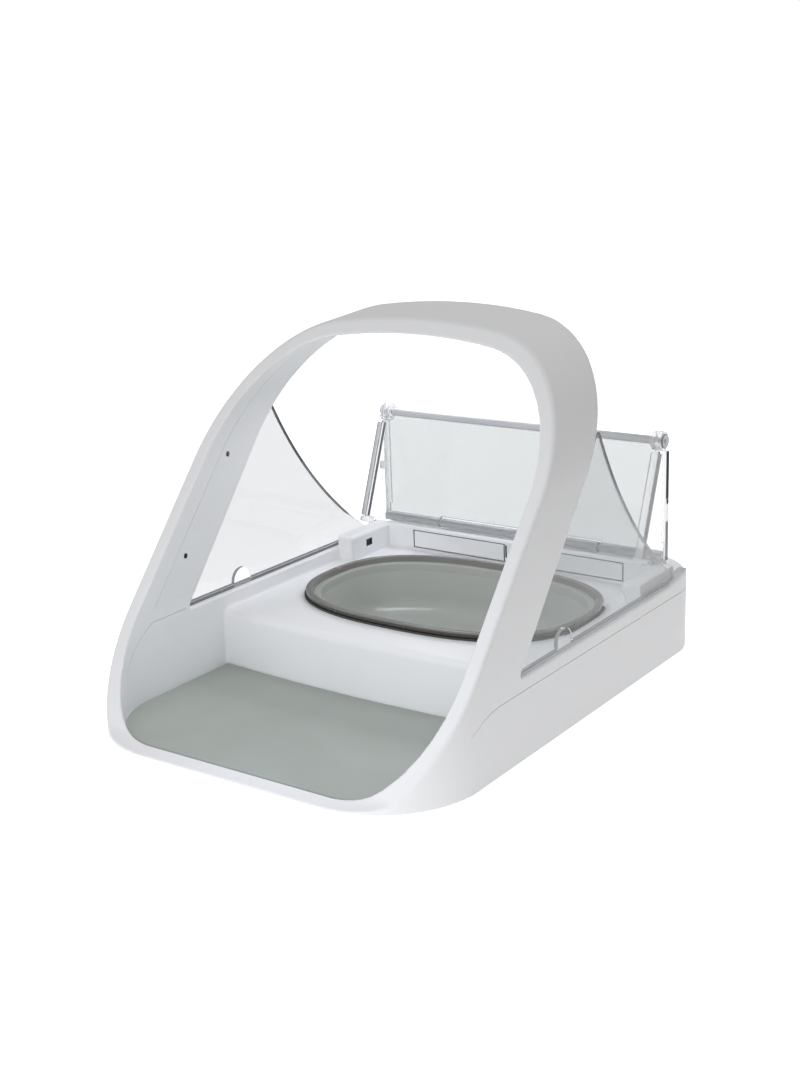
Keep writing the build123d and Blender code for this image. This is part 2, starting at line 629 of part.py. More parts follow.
# ---------------------------------------------------------------- feet and screws
put("rubber_feet", [
    cyl_z(6.8, 0.0, FLOOR_Z + 0.8, x, y) for x, y in FRONT_FEET + REAR_FEET
])
put("housing_screws", [
    cyl_z(2.9, 1.6, 3.4, x, y)
    - cyl_z(1.1, 1.0, 2.6, x, y)
    + cyl_z(1.2, 3.3, 35.0 if y < 300 else 43.0, x, y)
    for x, y in SCREWS
])

for n, s in OUT.items():
    print(n, len(s), round(sum(t.volume for t in s)), all(t.is_valid for t in s))
os.makedirs("parts", exist_ok=True)
for n, s in OUT.items():
    moved = [Solid(t.wrapped).moved(Location((0, -LENGTH / 2, 0))) for t in s]
    c = Compound(moved) if len(moved) > 1 else moved[0]
    export_step(c, f"parts/{n}.step")
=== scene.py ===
"""Microchip pet feeder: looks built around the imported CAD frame. Sizes in mm until a mesh is made."""
import math

import bmesh
import bpy
import numpy as np
from mathutils import Matrix, Vector


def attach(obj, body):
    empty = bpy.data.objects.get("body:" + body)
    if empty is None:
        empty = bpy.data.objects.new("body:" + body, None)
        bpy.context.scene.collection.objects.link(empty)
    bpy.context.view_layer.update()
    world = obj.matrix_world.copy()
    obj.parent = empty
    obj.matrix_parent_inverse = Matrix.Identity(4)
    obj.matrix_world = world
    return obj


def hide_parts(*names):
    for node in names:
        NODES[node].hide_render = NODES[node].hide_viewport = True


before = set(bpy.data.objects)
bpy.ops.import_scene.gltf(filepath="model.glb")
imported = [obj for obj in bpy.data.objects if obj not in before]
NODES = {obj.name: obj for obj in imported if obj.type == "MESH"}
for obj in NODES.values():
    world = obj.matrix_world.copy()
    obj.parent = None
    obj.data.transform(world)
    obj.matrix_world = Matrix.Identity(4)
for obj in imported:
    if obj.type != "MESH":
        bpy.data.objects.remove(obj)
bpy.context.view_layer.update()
scene = bpy.context.scene
SHIFT = Vector((0.0, -160.0, 0.0))      # depths below are measured from the front lip

# ------------------------------------------------------------------ driving sizes
LENGTH, HALF_W = 320.0, 116.5
FRONT_R, REAR_R = 56.5, 38.0
FLOOR_Z, SEAM_Z, RIM_Z, DECK_Z = 1.2, 39.3, 47.0, 38.0
WALL, RING_T = 2.4, 8.5
STEP_Y, REAR_WALL_Y, LEDGE_Z, BACK_TOP_Z = 126.0, 283.0, 54.5, 50.5
CROWN_Z, CROWN_Y, RISE = 211.5, 184.0, 0.07
CORNER_R, CROWN_R = 72.0, 430.0
FRONT_Y0, FRONT_LEAN = 6.0, 0.84
BACK_Y0, BACK_LEAN = 58.0, 0.80
HINGE_Y, HINGE_Z, FOLD_Z = 288.2, 58.1, 129.5
FOOT_Y, FOOT_Z = 262.4, 62.2
PANEL_HALF = 101.5
BOWL_A, BOWL_B, BOWL_Y, BOWL_RIM_Z = 92.0, 63.0, 209.5, 42.6
GEAR_X0, GEAR_X1 = 8.0, 13.0

NF = math.hypot(1.0, FRONT_LEAN)
NB = math.hypot(1.0, BACK_LEAN)
ARC_X = HALF_W - CORNER_R
ARC_Z0 = CROWN_Z - CROWN_R
ARC_CZ = ARC_Z0 + math.sqrt((CROWN_R - CORNER_R) ** 2 - ARC_X**2)
ARC_ANG = math.atan2(ARC_CZ - ARC_Z0, ARC_X)


# ------------------------------------------------------------------ distance fields
def smooth(t):
    t = np.clip(t, 0.0, 1.0)
    return t * t * (3.0 - 2.0 * t)


def rmax(a, b, r):
    """Both, with the convex edge between them rounded to r."""
    return np.minimum(-r, np.maximum(a, b)) + np.hypot(
        np.maximum(r + a, 0.0), np.maximum(r + b, 0.0)
    )


def rmin(a, b, r):
    """Either, with the concave corner between them filled to r."""
    return np.maximum(r, np.minimum(a, b)) - np.hypot(
        np.maximum(r - a, 0.0), np.maximum(r - b, 0.0)
    )


def plan2(ax, y, d):
    w, b, mid = HALF_W - d, LENGTH / 2 - d, LENGTH / 2
    r = np.where(y < mid, FRONT_R - d, REAR_R - d)
    qx, qy = ax - w + r, np.abs(y - mid) - b + r
    return (
        np.minimum(np.maximum(qx, qy), 0.0)
        + np.hypot(np.maximum(qx, 0.0), np.maximum(qy, 0.0))
        - r
    )


def arch2(ax, y, z, d):
    zz = z - RISE * (y - CROWN_Y)
    side = ax - (HALF_W - d)
    dx, dz = ax - ARC_X, zz - ARC_CZ
    corner = np.hypot(dx, dz) - (CORNER_R - d)
    top = np.hypot(ax, zz - ARC_Z0) - (CROWN_R - d)
    turned = np.arctan2(zz - ARC_Z0, ax)
    return np.where(turned > ARC_ANG, top, np.where(dz > 0, np.where(dx > 0, corner, -30.0), side))


def rounded_box(x, y, z, lo, hi, r):
    c = [(p + q) / 2 for p, q in zip(lo, hi)]
    h = [(q - p) / 2 - r for p, q in zip(lo, hi)]
    q = [np.abs(v - m) - s for v, m, s in zip((x, y, z), c, h)]
    out = np.sqrt(sum(np.maximum(v, 0.0) ** 2 for v in q))
    return out + np.minimum(np.maximum(np.maximum(q[0], q[1]), q[2]), 0.0) - r


def oval(x, y, a, b, n=2.6):
    k = (np.abs(x / a) ** n + np.abs((y - BOWL_Y) / b) ** n) ** (1.0 / n)
    return (k - 1.0) * min(a, b)


def step_y(x):
    return STEP_Y + 1.2 - 7.0 * (1.0 - (x / 125.0) ** 2)


def housing_field(x, y, z):
    """The upper moulding with the arch on it, as one skin."""
    ax = np.abs(x)
    sides = np.maximum(arch2(ax, y, z, 0.0), plan2(ax, y, 0.0))
    lean = (FRONT_Y0 + FRONT_LEAN * z - y) / NF
    lip = (z - 2.6 - 0.1875 * y) / 1.0174
    front = rmin(lean, lip, 3.0)
    outer = rmax(sides, front, 0.7 + 1.3 * smooth((z - 3.0) / 12.0))
    back = (y - BACK_Y0 - BACK_LEAN * z) / NB
    rim = z - (RIM_Z + 3.5 * smooth((y - 264.0) / 26.0))
    prof = rmin(back, rim, 3.5)
    outer = rmax(outer, prof, 1.3 + 4.7 * smooth((y - 288.0) / 18.0))
    # room inside the ring
    room = np.maximum(plan2(ax, y, RING_T), arch2(ax, y, z, RING_T))
    block = rmax(z - DECK_Z, step_y(x) - y, 4.5)
    room = rmax(room, -block, 2.0)
    room = rmax(room, y - REAR_WALL_Y, 2.0)
    room = rmax(room, 2.8 - z, 1.2)
    skin = rmax(outer, -room, 1.6)
    # ledge under the hinge and the two side blocks
    ledge = rounded_box(x, y, z, (-100.0, REAR_WALL_Y, 30.0), (100.0, 298.5, LEDGE_Z), 2.2)
    blocks = rounded_box(ax, y, z, (97.5, 240.6, 33.0), (111.0, 288.0, LEDGE_Z), 2.2)
    blocks = np.maximum(blocks, ax - 109.0)
    skin = rmin(np.minimum(skin, ledge), blocks, 0.6)
    # hollows
    under = np.maximum(rmax(z - 35.6, step_y(x) + WALL - y, 3.0), plan2(ax, y, WALL))
    behind = np.maximum(285.4 - y, rmax(z - 47.6, plan2(ax, y, WALL + 0.2), 5.0))
    in_ledge = rounded_box(x, y, z, (-97.6, 285.4, 28.0), (97.6, 294.0, 52.1), 0.3)
    in_block = rounded_box(ax, y, z, (99.9, 243.6, 28.0), (107.0, 280.6, 51.8), 0.3)
    beside = rounded_box(ax, y, z, (110.4, 62.0, -5.0), (114.4, 140.0, 44.6), 0.3)
    hollow = np.minimum(np.minimum(under, behind), np.minimum(in_ledge, np.minimum(in_block, beside)))
    skin = np.maximum(skin, -hollow)
    # bowl opening
    skin = np.maximum(skin, -np.maximum(oval(x, y, BOWL_A - 4.5, BOWL_B - 4.5), np.abs(z - 38.0) - 12.0))
    return rmax(skin, FLOOR_Z - z, 0.5)


# ------------------------------------------------------------------ field to mesh
def gradient(f, p, e=0.02):
    g = np.empty_like(p)
    for i in range(3):
        a, b = p.copy(), p.copy()
        a[:, i] += e
        b[:, i] -= e
        g[:, i] = (f(*a.T) - f(*b.T)) / (2 * e)
    return g


def field_mesh(f, lo, hi, h, name):
    """Surface net of f = 0 on a grid of pitch h, with its points then moved onto the surface."""
    n = [int(math.ceil((b - a) / h)) + 1 for a, b in zip(lo, hi)]
    ax = [a + h * np.arange(k) for a, k in zip(lo, n)]
    F = np.empty(n, np.float32)
    for k in range(0, n[2], 16):
        X, Y, Z = np.meshgrid(ax[0], ax[1], ax[2][k : k + 16], indexing="ij")
        F[:, :, k : k + 16] = f(X, Y, Z)
    S = F < 0
    count = np.zeros([k - 1 for k in n], np.int8)
    corners = [(i, j, k) for i in (0, 1) for j in (0, 1) for k in (0, 1)]
    for i, j, k in corners:
        count += S[i : n[0] - 1 + i, j : n[1] - 1 + j, k : n[2] - 1 + k]
    mixed = (count > 0) & (count < 8)
    index = np.full(mixed.shape, -1, np.int64)
    cells = np.argwhere(mixed)
    index[mixed] = np.arange(len(cells))
    total, found = np.zeros((len(cells), 3)), np.zeros(len(cells))
    for a in corners:
        for d in range(3):
            if a[d]:
                continue
            b = list(a)
            b[d] = 1
            fa = F[cells[:, 0] + a[0], cells[:, 1] + a[1], cells[:, 2] + a[2]].astype(float)
            fb = F[cells[:, 0] + b[0], cells[:, 1] + b[1], cells[:, 2] + b[2]].astype(float)
            cross = (fa < 0) != (fb < 0)
            t = np.where(cross, fa / np.where(cross, fa - fb, 1.0), 0.0)
            p = np.array(a, float) + np.outer(t, np.array(b) - np.array(a))
            total += p * cross[:, None]
            found += cross
    P = np.array(lo) + h * (cells + total / found[:, None])
    start = P.copy()
    for _ in range(5):
        g = gradient(f, P)
        P -= (f(*P.T) / np.maximum((g**2).sum(1), 0.2))[:, None] * g
        P = start + np.clip(P - start, -0.9 * h, 0.9 * h)
    quads = []
    for d in range(3):
        u, v = [(1, 2), (2, 0), (0, 1)][d]
        sl0 = [slice(1, n[i] - 1) for i in range(3)]
        sl0[d] = slice(0, n[d] - 1)
        sl1 = list(sl0)
        sl1[d] = slice(1, n[d])
        A, B = S[tuple(sl0)], S[tuple(sl1)]
        at = np.argwhere(A != B)
        inside_first = A[A != B]
        base = at.copy()
        for i in range(3):
            base[:, i] += sl0[i].start
        c = []
        for du, dv in ((-1, -1), (0, -1), (0, 0), (-1, 0)):
            q = base.copy()
            q[:, u] += du
            q[:, v] += dv
            c.append(index[q[:, 0], q[:, 1], q[:, 2]])
        c = np.stack(c, 1)
        c[~inside_first] = c[~inside_first][:, ::-1]
        quads.append(c)
    quads = np.concatenate(quads)
    quads = quads[(quads >= 0).all(1)]
    return mesh_from(name, P, quads)


def mesh_from(name, points_mm, faces):
    """A mesh from points in mm and an (n, k) array or list of faces."""
    me = bpy.data.meshes.new(name)
    pts = (np.asarray(points_mm, float) + np.array(SHIFT)) * 0.001
    if isinstance(faces, np.ndarray):
        k = faces.shape[1]
        me.vertices.add(len(pts))
        me.vertices.foreach_set("co", pts.astype(np.float32).ravel())
        me.loops.add(faces.size)
        me.loops.foreach_set("vertex_index", faces.astype(np.int32).ravel())
        me.polygons.add(len(faces))
        me.polygons.foreach_set("loop_start", np.arange(0, faces.size, k, dtype=np.int32))
        me.update(calc_edges=True)
    else:
        me.from_pydata([tuple(p) for p in pts], [], [tuple(int(i) for i in f) for f in faces])
        me.update()
    me.validate()
    return me


def new_object(name, me):
    o = bpy.data.objects.new(name, me)
    scene.collection.objects.link(o)
    return o


def baked(o, name=None):
    """Replaces o's mesh by what its modifiers make of it."""
    bpy.context.view_layer.update()
    me = bpy.data.meshes.new_from_object(o.evaluated_get(bpy.context.evaluated_depsgraph_get()))
    o.modifiers.clear()
    old, o.data = o.data, me
    me.name = name or o.name
    if old.users == 0:
        bpy.data.meshes.remove(old)
    return o


def cut(o, tool, operation="DIFFERENCE"):
    m = o.modifiers.new("cut", "BOOLEAN")
    m.object, m.operation, m.solver = tool, operation, "MANIFOLD"
    before = len(o.data.polygons)
    baked(o)
    print("cut", tool.name, operation, before, "->", len(o.data.polygons))
    return o


def drop(*objs):
    for o in objs:
        me = o.data
        bpy.data.objects.remove(o)
        if me.users == 0:
            bpy.data.meshes.remove(me)


def field_normals(o, f, limit=40.0, close=0.05):
    """Smooth normals read from the field, except on faces cut across it."""
    me = o.data
    nv, nl, npol = len(me.vertices), len(me.loops), len(me.polygons)
    co = np.empty(nv * 3)
    me.vertices.foreach_get("co", co)
    P = co.reshape(-1, 3) * 1000.0 - np.array(SHIFT)
    g = gradient(f, P)
    g /= np.maximum(np.linalg.norm(g, axis=1), 1e-9)[:, None]
    off = np.abs(f(*P.T)) > close
    vi = np.empty(nl, np.int32)
    me.loops.foreach_get("vertex_index", vi)
    fn = np.empty(npol * 3)
    me.polygons.foreach_get("normal", fn)
    total = np.empty(npol, np.int32)
    me.polygons.foreach_get("loop_total", total)
    face_n = np.repeat(fn.reshape(-1, 3), total, axis=0)
    ln = g[vi]
    bad = (ln * face_n).sum(1) < math.cos(math.radians(limit))
    bad |= off[vi]
    ln[bad] = face_n[bad]
    me.polygons.foreach_set("use_smooth", np.ones(npol, bool))
    me.update()
    me.normals_split_custom_set(ln.tolist())
    me.update()


# ------------------------------------------------------------------ materials
def nodes_of(m):
    m.use_nodes = True
    nt = m.node_tree
    nt.nodes.clear()
    return nt


def finish_of(
    name,
    colour,
    rough,
    vary=0.012,
    rough_vary=0.04,
    patch=18.0,
    grain=1800.0,
    bump=0.04,
    depth=0.00004,
    metallic=0.0,
    coat=0.0,
    coat_rough=0.2,
    ior=1.5,
    sheen=0.0,
    tint=None,
    warm=None,
    subsurface=0.0,
):
    """A moulded finish: slow colour drift, uneven gloss and a fine moulded grain."""
    m = bpy.data.materials.new(name)
    nt = nodes_of(m)
    out = nt.nodes.new("ShaderNodeOutputMaterial")
    b = nt.nodes.new("ShaderNodeBsdfPrincipled")
    nt.links.new(b.outputs[0], out.inputs["Surface"])
    co = nt.nodes.new("ShaderNodeTexCoord")
    slow = nt.nodes.new("ShaderNodeTexNoise")
    slow.inputs["Scale"].default_value = patch
    slow.inputs["Detail"].default_value = 4.0
    nt.links.new(co.outputs["Object"], slow.inputs["Vector"])
    ramp = nt.nodes.new("ShaderNodeValToRGB")
    ramp.color_ramp.elements[0].position, ramp.color_ramp.elements[1].position = 0.3, 0.7
    a = [c * (1 - vary) for c in colour]
    z = [min(1.0, c * (1 + vary)) for c in (tint or colour)]
    ramp.color_ramp.elements[0].color = (*a, 1)
    ramp.color_ramp.elements[1].color = (*z, 1)
    nt.links.new(slow.outputs["Fac"], ramp.inputs["Fac"])
    nt.links.new(ramp.outputs["Color"], b.inputs["Base Color"])
    fine = nt.nodes.new("ShaderNodeTexNoise")
    fine.inputs["Scale"].default_value = grain
    fine.inputs["Detail"].default_value = 3.0
    fine.inputs["Roughness"].default_value = 0.6
    nt.links.new(co.outputs["Object"], fine.inputs["Vector"])
    mid = nt.nodes.new("ShaderNodeTexNoise")
    mid.inputs["Scale"].default_value = grain / 22.0
    mid.inputs["Detail"].default_value = 2.0
    nt.links.new(co.outputs["Object"], mid.inputs["Vector"])
    rr = nt.nodes.new("ShaderNodeMapRange")
    rr.inputs["From Min"].default_value, rr.inputs["From Max"].default_value = 0.3, 0.7
    rr.inputs["To Min"].default_value = max(0.0, rough - rough_vary)
    rr.inputs["To Max"].default_value = min(1.0, rough + rough_vary)
    nt.links.new(mid.outputs["Fac"], rr.inputs["Value"])
    nt.links.new(rr.outputs["Result"], b.inputs["Roughness"])
    if bump:
        bp = nt.nodes.new("ShaderNodeBump")
        bp.inputs["Strength"].default_value = bump
        bp.inputs["Distance"].default_value = depth
        nt.links.new(fine.outputs["Fac"], bp.inputs["Height"])
        nt.links.new(bp.outputs["Normal"], b.inputs["Normal"])
    b.inputs["Metallic"].default_value = metallic
    b.inputs["IOR"].default_value = ior
    b.inputs["Coat Weight"].default_value = coat
    b.inputs["Coat Roughness"].default_value = coat_rough
    b.inputs["Sheen Weight"].default_value = sheen
    return m


def clear_of(name, colour, rough=0.02, ior=1.49, lamp=(0.93, 0.94, 0.945), through=1.0):
    """Clear acrylic; lamps and bounced light pass through it as through the real sheet."""
    m = bpy.data.materials.new(name)
    nt = nodes_of(m)
    out = nt.nodes.new("ShaderNodeOutputMaterial")
    b = nt.nodes.new("ShaderNodeBsdfPrincipled")
    b.inputs["Base Color"].default_value = (*colour, 1)
    b.inputs["Transmission Weight"].default_value = through
    b.inputs["IOR"].default_value = ior
    co = nt.nodes.new("ShaderNodeTexCoord")
    n = nt.nodes.new("ShaderNodeTexNoise")
    n.inputs["Scale"].default_value = 26.0
    n.inputs["Detail"].default_value = 2.0
    nt.links.new(co.outputs["Object"], n.inputs["Vector"])
    r = nt.nodes.new("ShaderNodeMapRange")
    r.inputs["From Min"].default_value, r.inputs["From Max"].default_value = 0.35, 0.65
    r.inputs["To Min"].default_value, r.inputs["To Max"].default_value = rough * 0.5, rough * 1.5
    nt.links.new(n.outputs["Fac"], r.inputs["Value"])
    nt.links.new(r.outputs["Result"], b.inputs["Roughness"])
    t = nt.nodes.new("ShaderNodeBsdfTransparent")
    t.inputs["Color"].default_value = (*lamp, 1)
    path = nt.nodes.new("ShaderNodeLightPath")
    either = nt.nodes.new("ShaderNodeMath")
    either.operation = "MAXIMUM"
    nt.links.new(path.outputs["Is Shadow Ray"], either.inputs[0])
    nt.links.new(path.outputs["Is Diffuse Ray"], either.inputs[1])
    mix = nt.nodes.new("ShaderNodeMixShader")
    nt.links.new(either.outputs[0], mix.inputs["Fac"])
    nt.links.new(b.outputs[0], mix.inputs[1])
    nt.links.new(t.outputs[0], mix.inputs[2])
    nt.links.new(mix.outputs[0], out.inputs["Surface"])
    return m


WHITE = finish_of("housing_white", (0.885, 0.888, 0.897), 0.36, vary=0.006, grain=2600.0, bump=0.05, ior=1.46)
COVER = finish_of("cover_white", (0.87, 0.872, 0.878), 0.42, vary=0.006, grain=2400.0, bump=0.06, ior=1.46)
BLACK = finish_of("sensor_black", (0.008, 0.008, 0.009), 0.18, vary=0.1, bump=0.0, coat=0.6, coat_rough=0.08)
COPPER = finish_of("copper_wire", (0.72, 0.33, 0.16), 0.32, vary=0.08, metallic=1.0, patch=90, grain=3000, bump=0.2)
MAT = finish_of("mat_grey", (0.420, 0.452, 0.415), 0.62, vary=0.03, patch=24, grain=1500.0, bump=0.35, depth=0.00008, ior=1.42)
BOWL = finish_of("bowl_grey", (0.385, 0.405, 0.375), 0.22, vary=0.02, patch=14, grain=2200.0, bump=0.05, coat=0.25, coat_rough=0.12, ior=1.5)
# Painted shade: the rim's outer side is near-black, partly its own dark tone and partly painted shade of the gap at its
# foot.
BOWL_EDGE_DARK_AND_SHADE = finish_of("bowl_rim_dark_and_shaded", (0.045, 0.043, 0.038), 0.25, vary=0.06, grain=2200.0, bump=0.05, coat=0.3, coat_rough=0.1)
BOWL_LIP = finish_of("bowl_lip_taupe", (0.185, 0.180, 0.165), 0.24, vary=0.05, grain=2200.0, bump=0.05, coat=0.4, coat_rough=0.1)
SEAL = finish_of("seal_dark", (0.055, 0.056, 0.052), 0.6, vary=0.08, grain=2200.0, bump=0.2)
CLEAR = clear_of("clear_panel", (0.745, 0.757, 0.762), ior=1.34)
# Painted shade: a darker sheet used on the left guard's plate only; the right guard's plate is the same acrylic.
CLEAR_LEFT_SHADED = clear_of("clear_sheet_painted_shade", (0.605, 0.61, 0.62), ior=1.34)
# Painted reflections: the edge tones below stand in for reflections and refractions in the acrylic's edges, beads,
# barrels, feet and knobs, chosen by side and height.
EDGE_REFLECT_DARK = clear_of("clear_edge_reflection_dark", (0.10, 0.105, 0.12), rough=0.12, ior=1.45, lamp=(0.8, 0.8, 0.8), through=0.25)
EDGE_REFLECT_GREY = clear_of("clear_edge_reflection_grey", (0.46, 0.47, 0.49), rough=0.10, ior=1.45, lamp=(0.88, 0.88, 0.88), through=0.6)
EDGE_REFLECT_BLACK = clear_of("clear_edge_reflection_black", (0.025, 0.027, 0.035), rough=0.5, ior=1.25, lamp=(0.7, 0.7, 0.7), through=0.0)
EDGE_REFLECT_MID = clear_of("clear_edge_reflection_mid", (0.23, 0.235, 0.25), rough=0.2, ior=1.4, lamp=(0.85, 0.85, 0.85), through=0.3)
EDGE_REFLECT_SOFT = clear_of("clear_edge_reflection_soft", (0.57, 0.575, 0.59), rough=0.2, ior=1.4, lamp=(0.9, 0.9, 0.9), through=0.35)
EDGE_REFLECT_PALE = clear_of("clear_edge_reflection_pale", (0.88, 0.885, 0.90), rough=0.15, ior=1.22, through=0.6)
KNOB_PAINTED_LIGHT = clear_of("clear_knob_painted_light", (0.95, 0.955, 0.965), rough=0.08, ior=1.28, through=0.72)
# Painted shadow inside the small slots and painted shade in the gaps behind the hatches.
SLOT_PAINTED_SHADOW = finish_of("slot_shadow", (0.045, 0.046, 0.05), 0.7, vary=0.05, bump=0.0)
GAP_PAINTED_SHADE = finish_of("gap_shadow", (0.16, 0.165, 0.175), 0.7, vary=0.05, bump=0.0)
GLASSY = clear_of("clear_knob", (0.90, 0.905, 0.91), ior=1.36)
STRIP = finish_of("strip_grey", (0.54, 0.55, 0.565), 0.34, vary=0.04, grain=2000.0, bump=0.1)
STEEL = finish_of("pin_steel", (0.86, 0.86, 0.87), 0.3, vary=0.05, metallic=1.0, patch=120, grain=3200, bump=0.1)
NYLON = finish_of("gear_nylon", (0.76, 0.74, 0.68), 0.42, vary=0.03, grain=1800, bump=0.1)
CAN = finish_of("motor_can", (0.45, 0.45, 0.46), 0.33, vary=0.05, metallic=1.0, patch=60, grain=2600, bump=0.15)
BOARD = finish_of("board_green", (0.02, 0.13, 0.055), 0.38, vary=0.12, patch=60, grain=900, bump=0.3, coat=0.5)
LENS = finish_of("lens_milky", (0.82, 0.84, 0.86), 0.25, vary=0.02, bump=0.0, coat=0.4)
BUTTON = finish_of("button_grey", (0.36, 0.375, 0.37), 0.48, vary=0.03, grain=1800, bump=0.25, depth=0.00006)
CELL = finish_of("cell_wrap", (0.10, 0.11, 0.13), 0.3, vary=0.1, patch=40, grain=1500, bump=0.05, coat=0.5)
CONTACT = finish_of("contact_metal", (0.62, 0.60, 0.56), 0.3, vary=0.06, metallic=1.0, patch=90, grain=2800, bump=0.15)
RUBBER = finish_of("foot_rubber", (0.12, 0.122, 0.12), 0.75, vary=0.06, grain=1600, bump=0.4, depth=0.00008)
SCREW = finish_of("screw_steel", (0.40, 0.40, 0.41), 0.36, vary=0.06, metallic=1.0, patch=120, grain=3000, bump=0.15)


def paint(o, *mats):
    o.data.materials.clear()
    for m in mats:
        o.data.materials.append(m)


# ------------------------------------------------------------------ housing
def plan_path(d, y_from, count=26):
    """The plan outline offset by d, from the right side at y_from round the back to the left."""
    w, y1, rr, rf = HALF_W - d, LENGTH - d, REAR_R - d, FRONT_R - d
    pts = []
    if y_from < d + rf:
        a0 = math.asin(max(-1.0, (y_from - d - rf) / rf))
        for i in range(count + 1):
            a = a0 * (1 - i / count)
            pts.append((w - rf + rf * math.cos(a), d + rf + rf * math.sin(a)))
    else:
        pts.append((w, y_from))
    yy = pts[-1][1]
    steps = int((y1 - rr - yy) / 3.0)
    for i in range(1, steps + 1):
        pts.append((w, yy + (y1 - rr - yy) * i / steps))
    for i in range(1, count + 1):
        a = math.pi / 2 * i / count
        pts.append((w - rr + rr * math.cos(a), y1 - rr + rr * math.sin(a)))
    left = [(-x, y) for x, y in reversed(pts)]
    return pts + left


SEAM_R, SEAM_YC, SEAM_Y0 = 55.0, 79.0, 44.0


def seam_z(y):
    """Height of the parting line: level, then curving down towards the front."""
    if y >= SEAM_YC:
        return SEAM_Z
    return SEAM_Z - SEAM_R + math.sqrt(SEAM_R**2 - (SEAM_YC - y) ** 2)


def ribbon(name, rings, closed=False):
    """A closed solid swept from rings of equal length (each a list of points in mm)."""
    k = len(rings[0])
    pts = [p for r in rings for p in r]
    faces = []
    n = len(rings)
    for i in range(n if closed else n - 1):
        a, b = i * k, ((i + 1) % n) * k
        for j in range(k):
            faces.append((a + j, a + (j + 1) % k, b + (j + 1) % k, b + j))
    if not closed:
        faces.append(tuple(range(k - 1, -1, -1)))
        faces.append(tuple(range((n - 1) * k, n * k)))
    me = mesh_from(name, pts, faces)
    bm = bmesh.new()
    bm.from_mesh(me)
    bmesh.ops.recalc_face_normals(bm, faces=bm.faces)
    bm.to_mesh(me)
    bm.free()
    return new_object(name, me)


def lower_wall_tool(gap, name="lower_wall_tool"):
    """The outer wall below the parting line; the gap over it closes where the line turns down."""
    inner, outer = plan_path(WALL, SEAM_Y0), plan_path(-3.0, SEAM_Y0)
    rings = []
    for (xi, yi), (xo, yo) in zip(inner, outer):
        zt = [seam_z(max(SEAM_Y0, y)) + gap * float(smooth((y - SEAM_Y0 - 2.5) / 6.0)) for y in (yi, yo)]
        rings.append([(xi, yi, -6.0), (xo, yo, -6.0), (xo, yo, zt[1]), (xi, yi, zt[0])])
    return ribbon(name, rings)


def arch_path(d, z_from, count=30):
    """The arch outline offset by d at the crown's height, from the right foot over to the left: (x, height)."""
    w = HALF_W - d
    r, big = CORNER_R - d, CROWN_R - d
    pts = []
    steps = int((ARC_CZ - z_from) / 3.0)
    for i in range(steps):
        pts.append((w, z_from + (ARC_CZ - z_from) * i / steps))
    for i in range(count):
        a = ARC_ANG * i / count
        pts.append((ARC_X + r * math.cos(a), ARC_CZ + r * math.sin(a)))
    for i in range(13):
        a = ARC_ANG + (math.pi / 2 - ARC_ANG) * i / 12
        pts.append((big * math.cos(a), ARC_Z0 + big * math.sin(a)))
    left = [(-x, z) for x, z in reversed(pts[:-1])]
    return pts + left


def at_depth(x, zs, plane0, lean):
    """The point over x whose arch height is zs, on the plane y = plane0 + lean * z."""
    # z = zs + RISE * (y - CROWN_Y) and y = plane0 + lean * z
    z = (zs + RISE * (plane0 - CROWN_Y)) / (1 - RISE * lean)
    return (x, plane0 + lean * z, z)


def profile(points, radii, steps=5):
    """A polyline with each inner corner turned into an arc of that radius."""
    P = [np.array(p, float) for p in points]
    out = [P[0]]
    for i in range(1, len(P) - 1):
        a, b, c, r = P[i - 1], P[i], P[i + 1], radii[i]
        if r <= 0:
            out.append(b)
            continue
        u, v = (a - b) / np.linalg.norm(a - b), (c - b) / np.linalg.norm(c - b)
        ang = math.acos(max(-1.0, min(1.0, float(u @ v))))
        t = r / math.tan(ang / 2)
        t = min(t, 0.48 * np.linalg.norm(a - b), 0.48 * np.linalg.norm(c - b))
        p, q = b + u * t, b + v * t
        for k in range(steps + 1):
            w = k / steps
            out.append((1 - w) ** 2 * p + 2 * w * (1 - w) * b + w * w * q)
    out.append(P[-1])
    return out


def subdivide_line(pts, longest):
    out = [pts[0]]
    for a, b in zip(pts[:-1], pts[1:]):
        n = max(1, int(math.ceil(np.linalg.norm(b - a) / longest)))
        out += [a + (b - a) * k / n for k in range(1, n + 1)]
    return out


PITCH = 1.2
COVER_IN = 6.3
COVER_Z = 48.0
GROOVE = 0.34


def tube_tool(name, a, b, r, count=40):
    a, b = Vector(a), Vector(b)
    d = (b - a).normalized()
    u = d.orthogonal().normalized()
    v = d.cross(u)
    ring = lambda c: [tuple(c + r * (math.cos(t) * u + math.sin(t) * v)) for t in [2 * math.pi * i / count for i in range(count)]]
    return ribbon(name, [ring(a), ring(b)])


def cover_tool(grow):
    """The room of the arch's inner cover: 15 mm behind the front face, back past the arch."""
    df = 15.0 * 1.0
    zf = COVER_Z - grow
    inner, outer = arch_path(COVER_IN - grow, 62.0), arch_path(RING_T + 2.0, 62.0)
    front, rear = FRONT_Y0 + df - grow, BACK_Y0 + 6.0
    rings = []
    for (xi, zi), (xo, zo) in zip(inner, outer):
        a = at_depth(xi, zi, front, FRONT_LEAN)
        b = at_depth(xo, zo, front, FRONT_LEAN)
        c = at_depth(xo, zo, rear, BACK_LEAN)
        e = at_depth(xi, zi, rear, BACK_LEAN)
        rings.append([a, b, c, e])
    for at, sx in ((0, 1), (len(rings), -1)):       # the two feet, cut level
        xi, xo = sx * (HALF_W - COVER_IN + grow), sx * (HALF_W - RING_T - 2.0)
        foot = [(xi, front), (xo, front), (xo, rear), (xi, rear)]
        lean = [FRONT_LEAN, FRONT_LEAN, BACK_LEAN, BACK_LEAN]
        rings.insert(at, [(x, y + k * zf, zf) for (x, y), k in zip(foot, lean)])
    return ribbon("cover_tool", rings)


